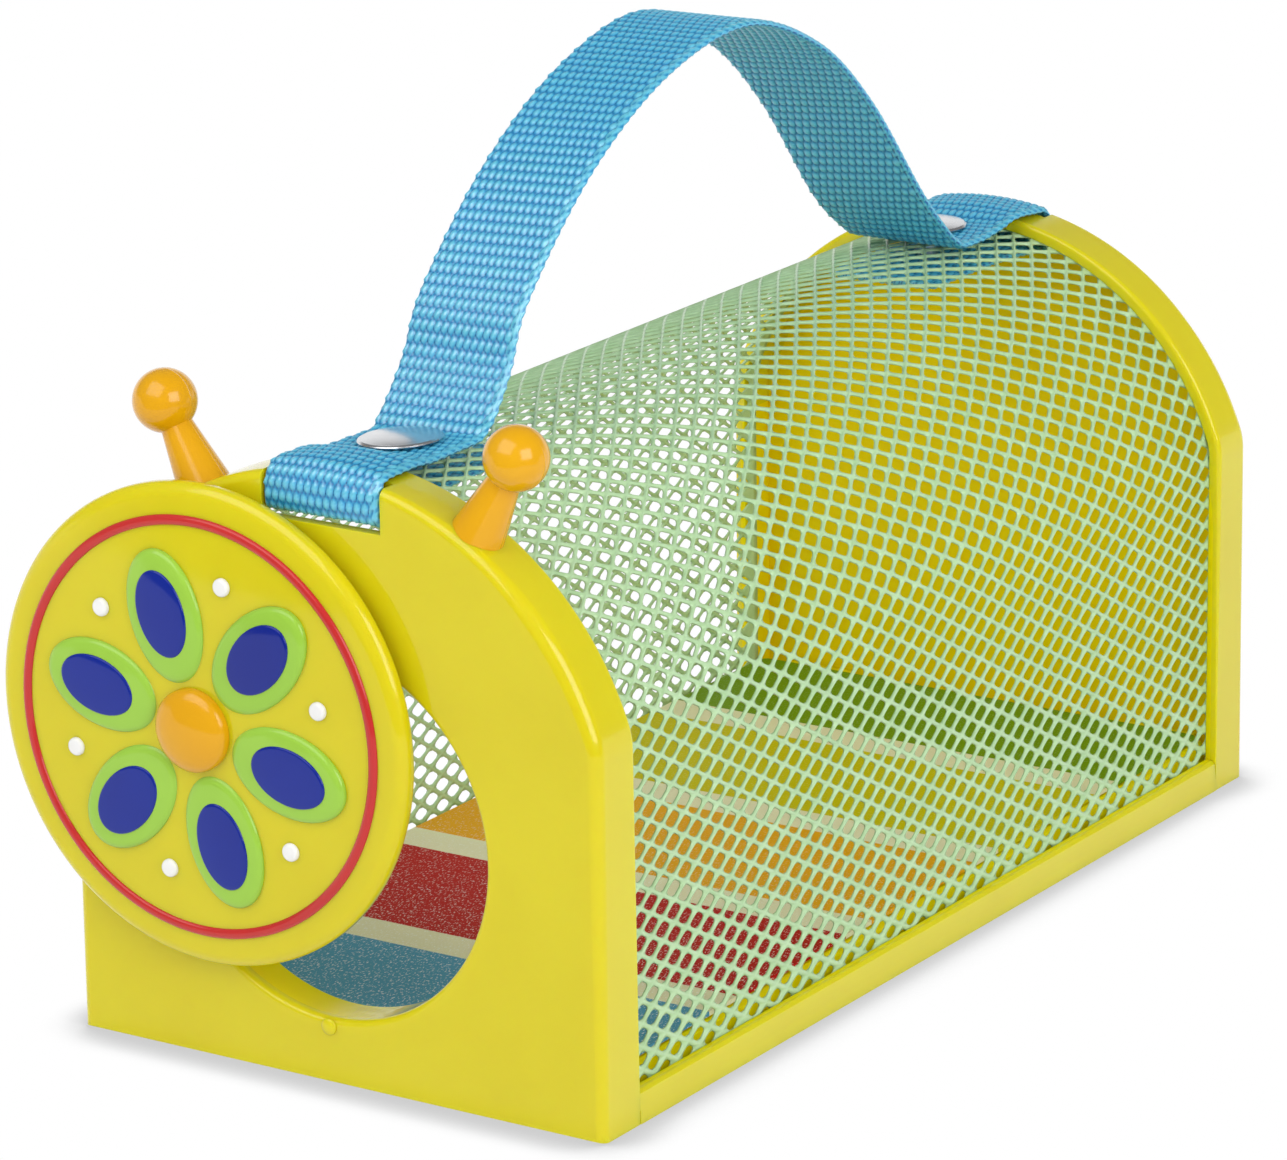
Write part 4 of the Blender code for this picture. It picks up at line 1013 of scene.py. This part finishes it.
RIVET_HEAD = 0.0073
RIVET_POST = 0.0020
head_low = STRAP_HALF + 0.0003
burr_low = STRAP_TAIL_Z - STRAP_FLAT_Z - STRAP_HALF - 0.0016
shaft = [(0, burr_low - 0.0011), (0.0024, burr_low - 0.0011), (0.0032, burr_low - 0.0007),
         (0.0034, burr_low - 0.0003), (0.0034, burr_low), (RIVET_POST, burr_low), (RIVET_POST, head_low)]
cap = [(RIVET_HEAD - 0.0002, head_low), (RIVET_HEAD, head_low + 0.0002),
       (RIVET_HEAD - 0.0001, head_low + 0.00038), (RIVET_HEAD - 0.0004, head_low + 0.00052)]
cap += [(RIVET_HEAD * (1 - i / 10) * 0.94, head_low + 0.00056 + 0.00052 * (1 - (1 - i / 10) ** 2))
        for i in range(10)]
cap.append((0, head_low + 0.00108))
for name, x, y, roll in (("front_rivet", FRONT_RIVET[0], FRONT + FRONT_RIVET[1], FRONT_ROLL),
                         ("rear_rivet", REAR_RIVET[0], REAR - REAR_RIVET[1], 0.0)):
    place = Matrix.Translation((x, y, STRAP_FLAT_Z)) @ Matrix.Rotation(-math.atan(roll), 4, 'Y')
    rivet = turned_piece(name + "_head", shaft + cap, 72, place, bright_steel, "house", 35)
    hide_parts(name)
    dress(name + "_washer", bright_steel)


# Stage: a white floor with a close soft shadow painted in from how near the object is, under broad studio
# lights;
# the lens sees a white surround, and reflections one that dims overhead.

FLOOR_FRONT = -0.42
bm = bmesh.new()
bmesh.ops.create_grid(bm, x_segments=1, y_segments=1, size=0.55)
for v in bm.verts:
    v.co.y = max(v.co.y, FLOOR_FRONT)
floor_mesh = bpy.data.meshes.new("studio_floor")
bm.to_mesh(floor_mesh)
bm.free()
studio_floor = bpy.data.objects.new("studio_floor", floor_mesh)
studio_floor.location = (0, 0, -0.0002)
bpy.context.scene.collection.objects.link(studio_floor)


def seen_rays(tree):
    """1 for rays that see the stage itself, in the lens, in metal or through glass."""
    rays = add_node(tree, 'ShaderNodeLightPath').outputs
    mirrored = reckon(tree, 'MAXIMUM', rays["Is Camera Ray"], rays["Is Glossy Ray"])
    return reckon(tree, 'MAXIMUM', mirrored, rays["Is Transmission Ray"])


SHADOW_REACH = 0.011
white_paper, tree, shader = blank_finish("white_paper")
shader.inputs["Base Color"].default_value = (0.80, 0.80, 0.80, 1)
shader.inputs["Roughness"].default_value = 0.9
# Painted shadow: the floor seen by the lens and in reflections glows white, greyed where the object stands
# close, by nearness and not by the lamps.
near = add_node(tree, 'ShaderNodeAmbientOcclusion', samples=12)
near.inputs["Distance"].default_value = SHADOW_REACH
shade = colour_steps(tree, [(place, (grey, grey, grey)) for place, grey in (
    (0.56, 0.62), (0.64, 0.65), (0.71, 0.71), (0.79, 0.82), (0.91, 1.0))])
wire(tree, near, "AO", shade, "Fac")
painted_shadow_glow = add_node(tree, 'ShaderNodeEmission')
wire(tree, shade, "Color", painted_shadow_glow, "Color")
choose = add_node(tree, 'ShaderNodeMixShader')
tree.links.new(seen_rays(tree), choose.inputs["Fac"])
tree.links.new(shader.outputs[0], choose.inputs[1])
tree.links.new(painted_shadow_glow.outputs[0], choose.inputs[2])
tree.links.new(choose.outputs[0], tree.nodes["Material Output"].inputs["Surface"])
studio_floor.data.materials.append(white_paper)


def softbox(name, spot, aim, size, power):
    lamp = bpy.data.lights.new(name, 'AREA')
    lamp.shape = 'RECTANGLE'
    lamp.size, lamp.size_y = size
    lamp.energy = power
    holder = bpy.data.objects.new(name, lamp)
    holder.location = spot
    holder.rotation_euler = (Vector(aim) - Vector(spot)).to_track_quat('-Z', 'Y').to_euler()
    bpy.context.scene.collection.objects.link(holder)
    return holder


# Each light looks brighter in a gloss surface than it lights a dull one.
for name, spot, size, power, gleam in (("front", (-0.20, -0.85, 0.98), (1.15, 0.95), 5.4, 18.5),
                                       ("right", (1.06, -0.44, 0.60), (0.80, 0.70), 6.2, 9.5)):
    softbox(name + "_softbox", spot, (0, 0, 0.06), size, power)
    glint = softbox(name + "_glint", spot, (0, 0, 0.06), size, gleam)
    glint.visible_diffuse = False
    glint.visible_transmission = False

AWAY_FROM_LENS = (-0.549, 0.836, 0)
world = bpy.data.worlds.new("studio")
world.use_nodes = True
tree = world.node_tree
ambient = tree.nodes["Background"]
ambient.inputs["Strength"].default_value = 0.95
seen = add_node(tree, 'ShaderNodeBackground')
seen.inputs["Strength"].default_value = 1.0
outlook = add_node(tree, 'ShaderNodeTexCoord')
height = add_node(tree, 'ShaderNodeSeparateXYZ')
wire(tree, outlook, "Generated", height, "Vector")
dome = colour_steps(tree, ((0.30, (1, 1, 1)), (0.70, (0.50, 0.50, 0.50))))
wire(tree, height, "Z", dome, "Fac")
wire(tree, dome, "Color", ambient, "Color")
behind = add_node(tree, 'ShaderNodeVectorMath', operation='DOT_PRODUCT')
wire(tree, outlook, "Generated", behind, 0)
behind.inputs[1].default_value = AWAY_FROM_LENS
swept = reckon(tree, 'MAXIMUM', reckon(tree, 'SUBTRACT', behind.outputs["Value"], 0.5))
faced = reckon(tree, 'MAXIMUM', reckon(tree, 'SUBTRACT', 0.0, behind.outputs["Value"]))
lifted = reckon(tree, 'SUBTRACT', height.outputs["Z"], reckon(tree, 'MULTIPLY', swept, 0.9))
mirrored = reckon(tree, 'SUBTRACT', 1.0, add_node(tree, 'ShaderNodeLightPath').outputs["Is Camera Ray"])
above = reckon(tree, 'MULTIPLY', reckon(tree, 'ADD', lifted, faced), mirrored)
sky = colour_steps(tree, ((0.02, (1, 1, 1)), (0.12, (0.20, 0.20, 0.20))))
tree.links.new(above, sky.inputs["Fac"])
wire(tree, sky, "Color", seen, "Color")
choose = add_node(tree, 'ShaderNodeMixShader')
tree.links.new(seen_rays(tree), choose.inputs["Fac"])
tree.links.new(ambient.outputs[0], choose.inputs[1])
tree.links.new(seen.outputs[0], choose.inputs[2])
tree.links.new(choose.outputs[0], tree.nodes["World Output"].inputs["Surface"])
bpy.context.scene.world = world
bpy.context.scene.view_settings.view_transform = 'Standard'


# Camera: at the photograph's place, turned a little about its own axis.

yaw = math.radians(33.303)
pitch_down = math.radians(16.748)
tilt = -0.0141
forward = Vector((-math.sin(yaw) * math.cos(pitch_down), math.cos(yaw) * math.cos(pitch_down),
                  -math.sin(pitch_down)))
level_right = Vector((math.cos(yaw), math.sin(yaw), 0))
level_up = level_right.cross(forward)
right = math.cos(tilt) * level_right + math.sin(tilt) * level_up
up = -math.sin(tilt) * level_right + math.cos(tilt) * level_up
lens = bpy.data.cameras.new("camera")
lens.sensor_width = 36.0
lens.lens = 6344.886 / 1287 * 36.0
camera = bpy.data.objects.new("camera", lens)
camera.matrix_world = (Matrix.Translation((0.58805, -0.91015, 0.38545))
                       @ Matrix((right, up, -forward)).transposed().to_4x4())
bpy.context.scene.collection.objects.link(camera)
bpy.context.scene.camera = camera
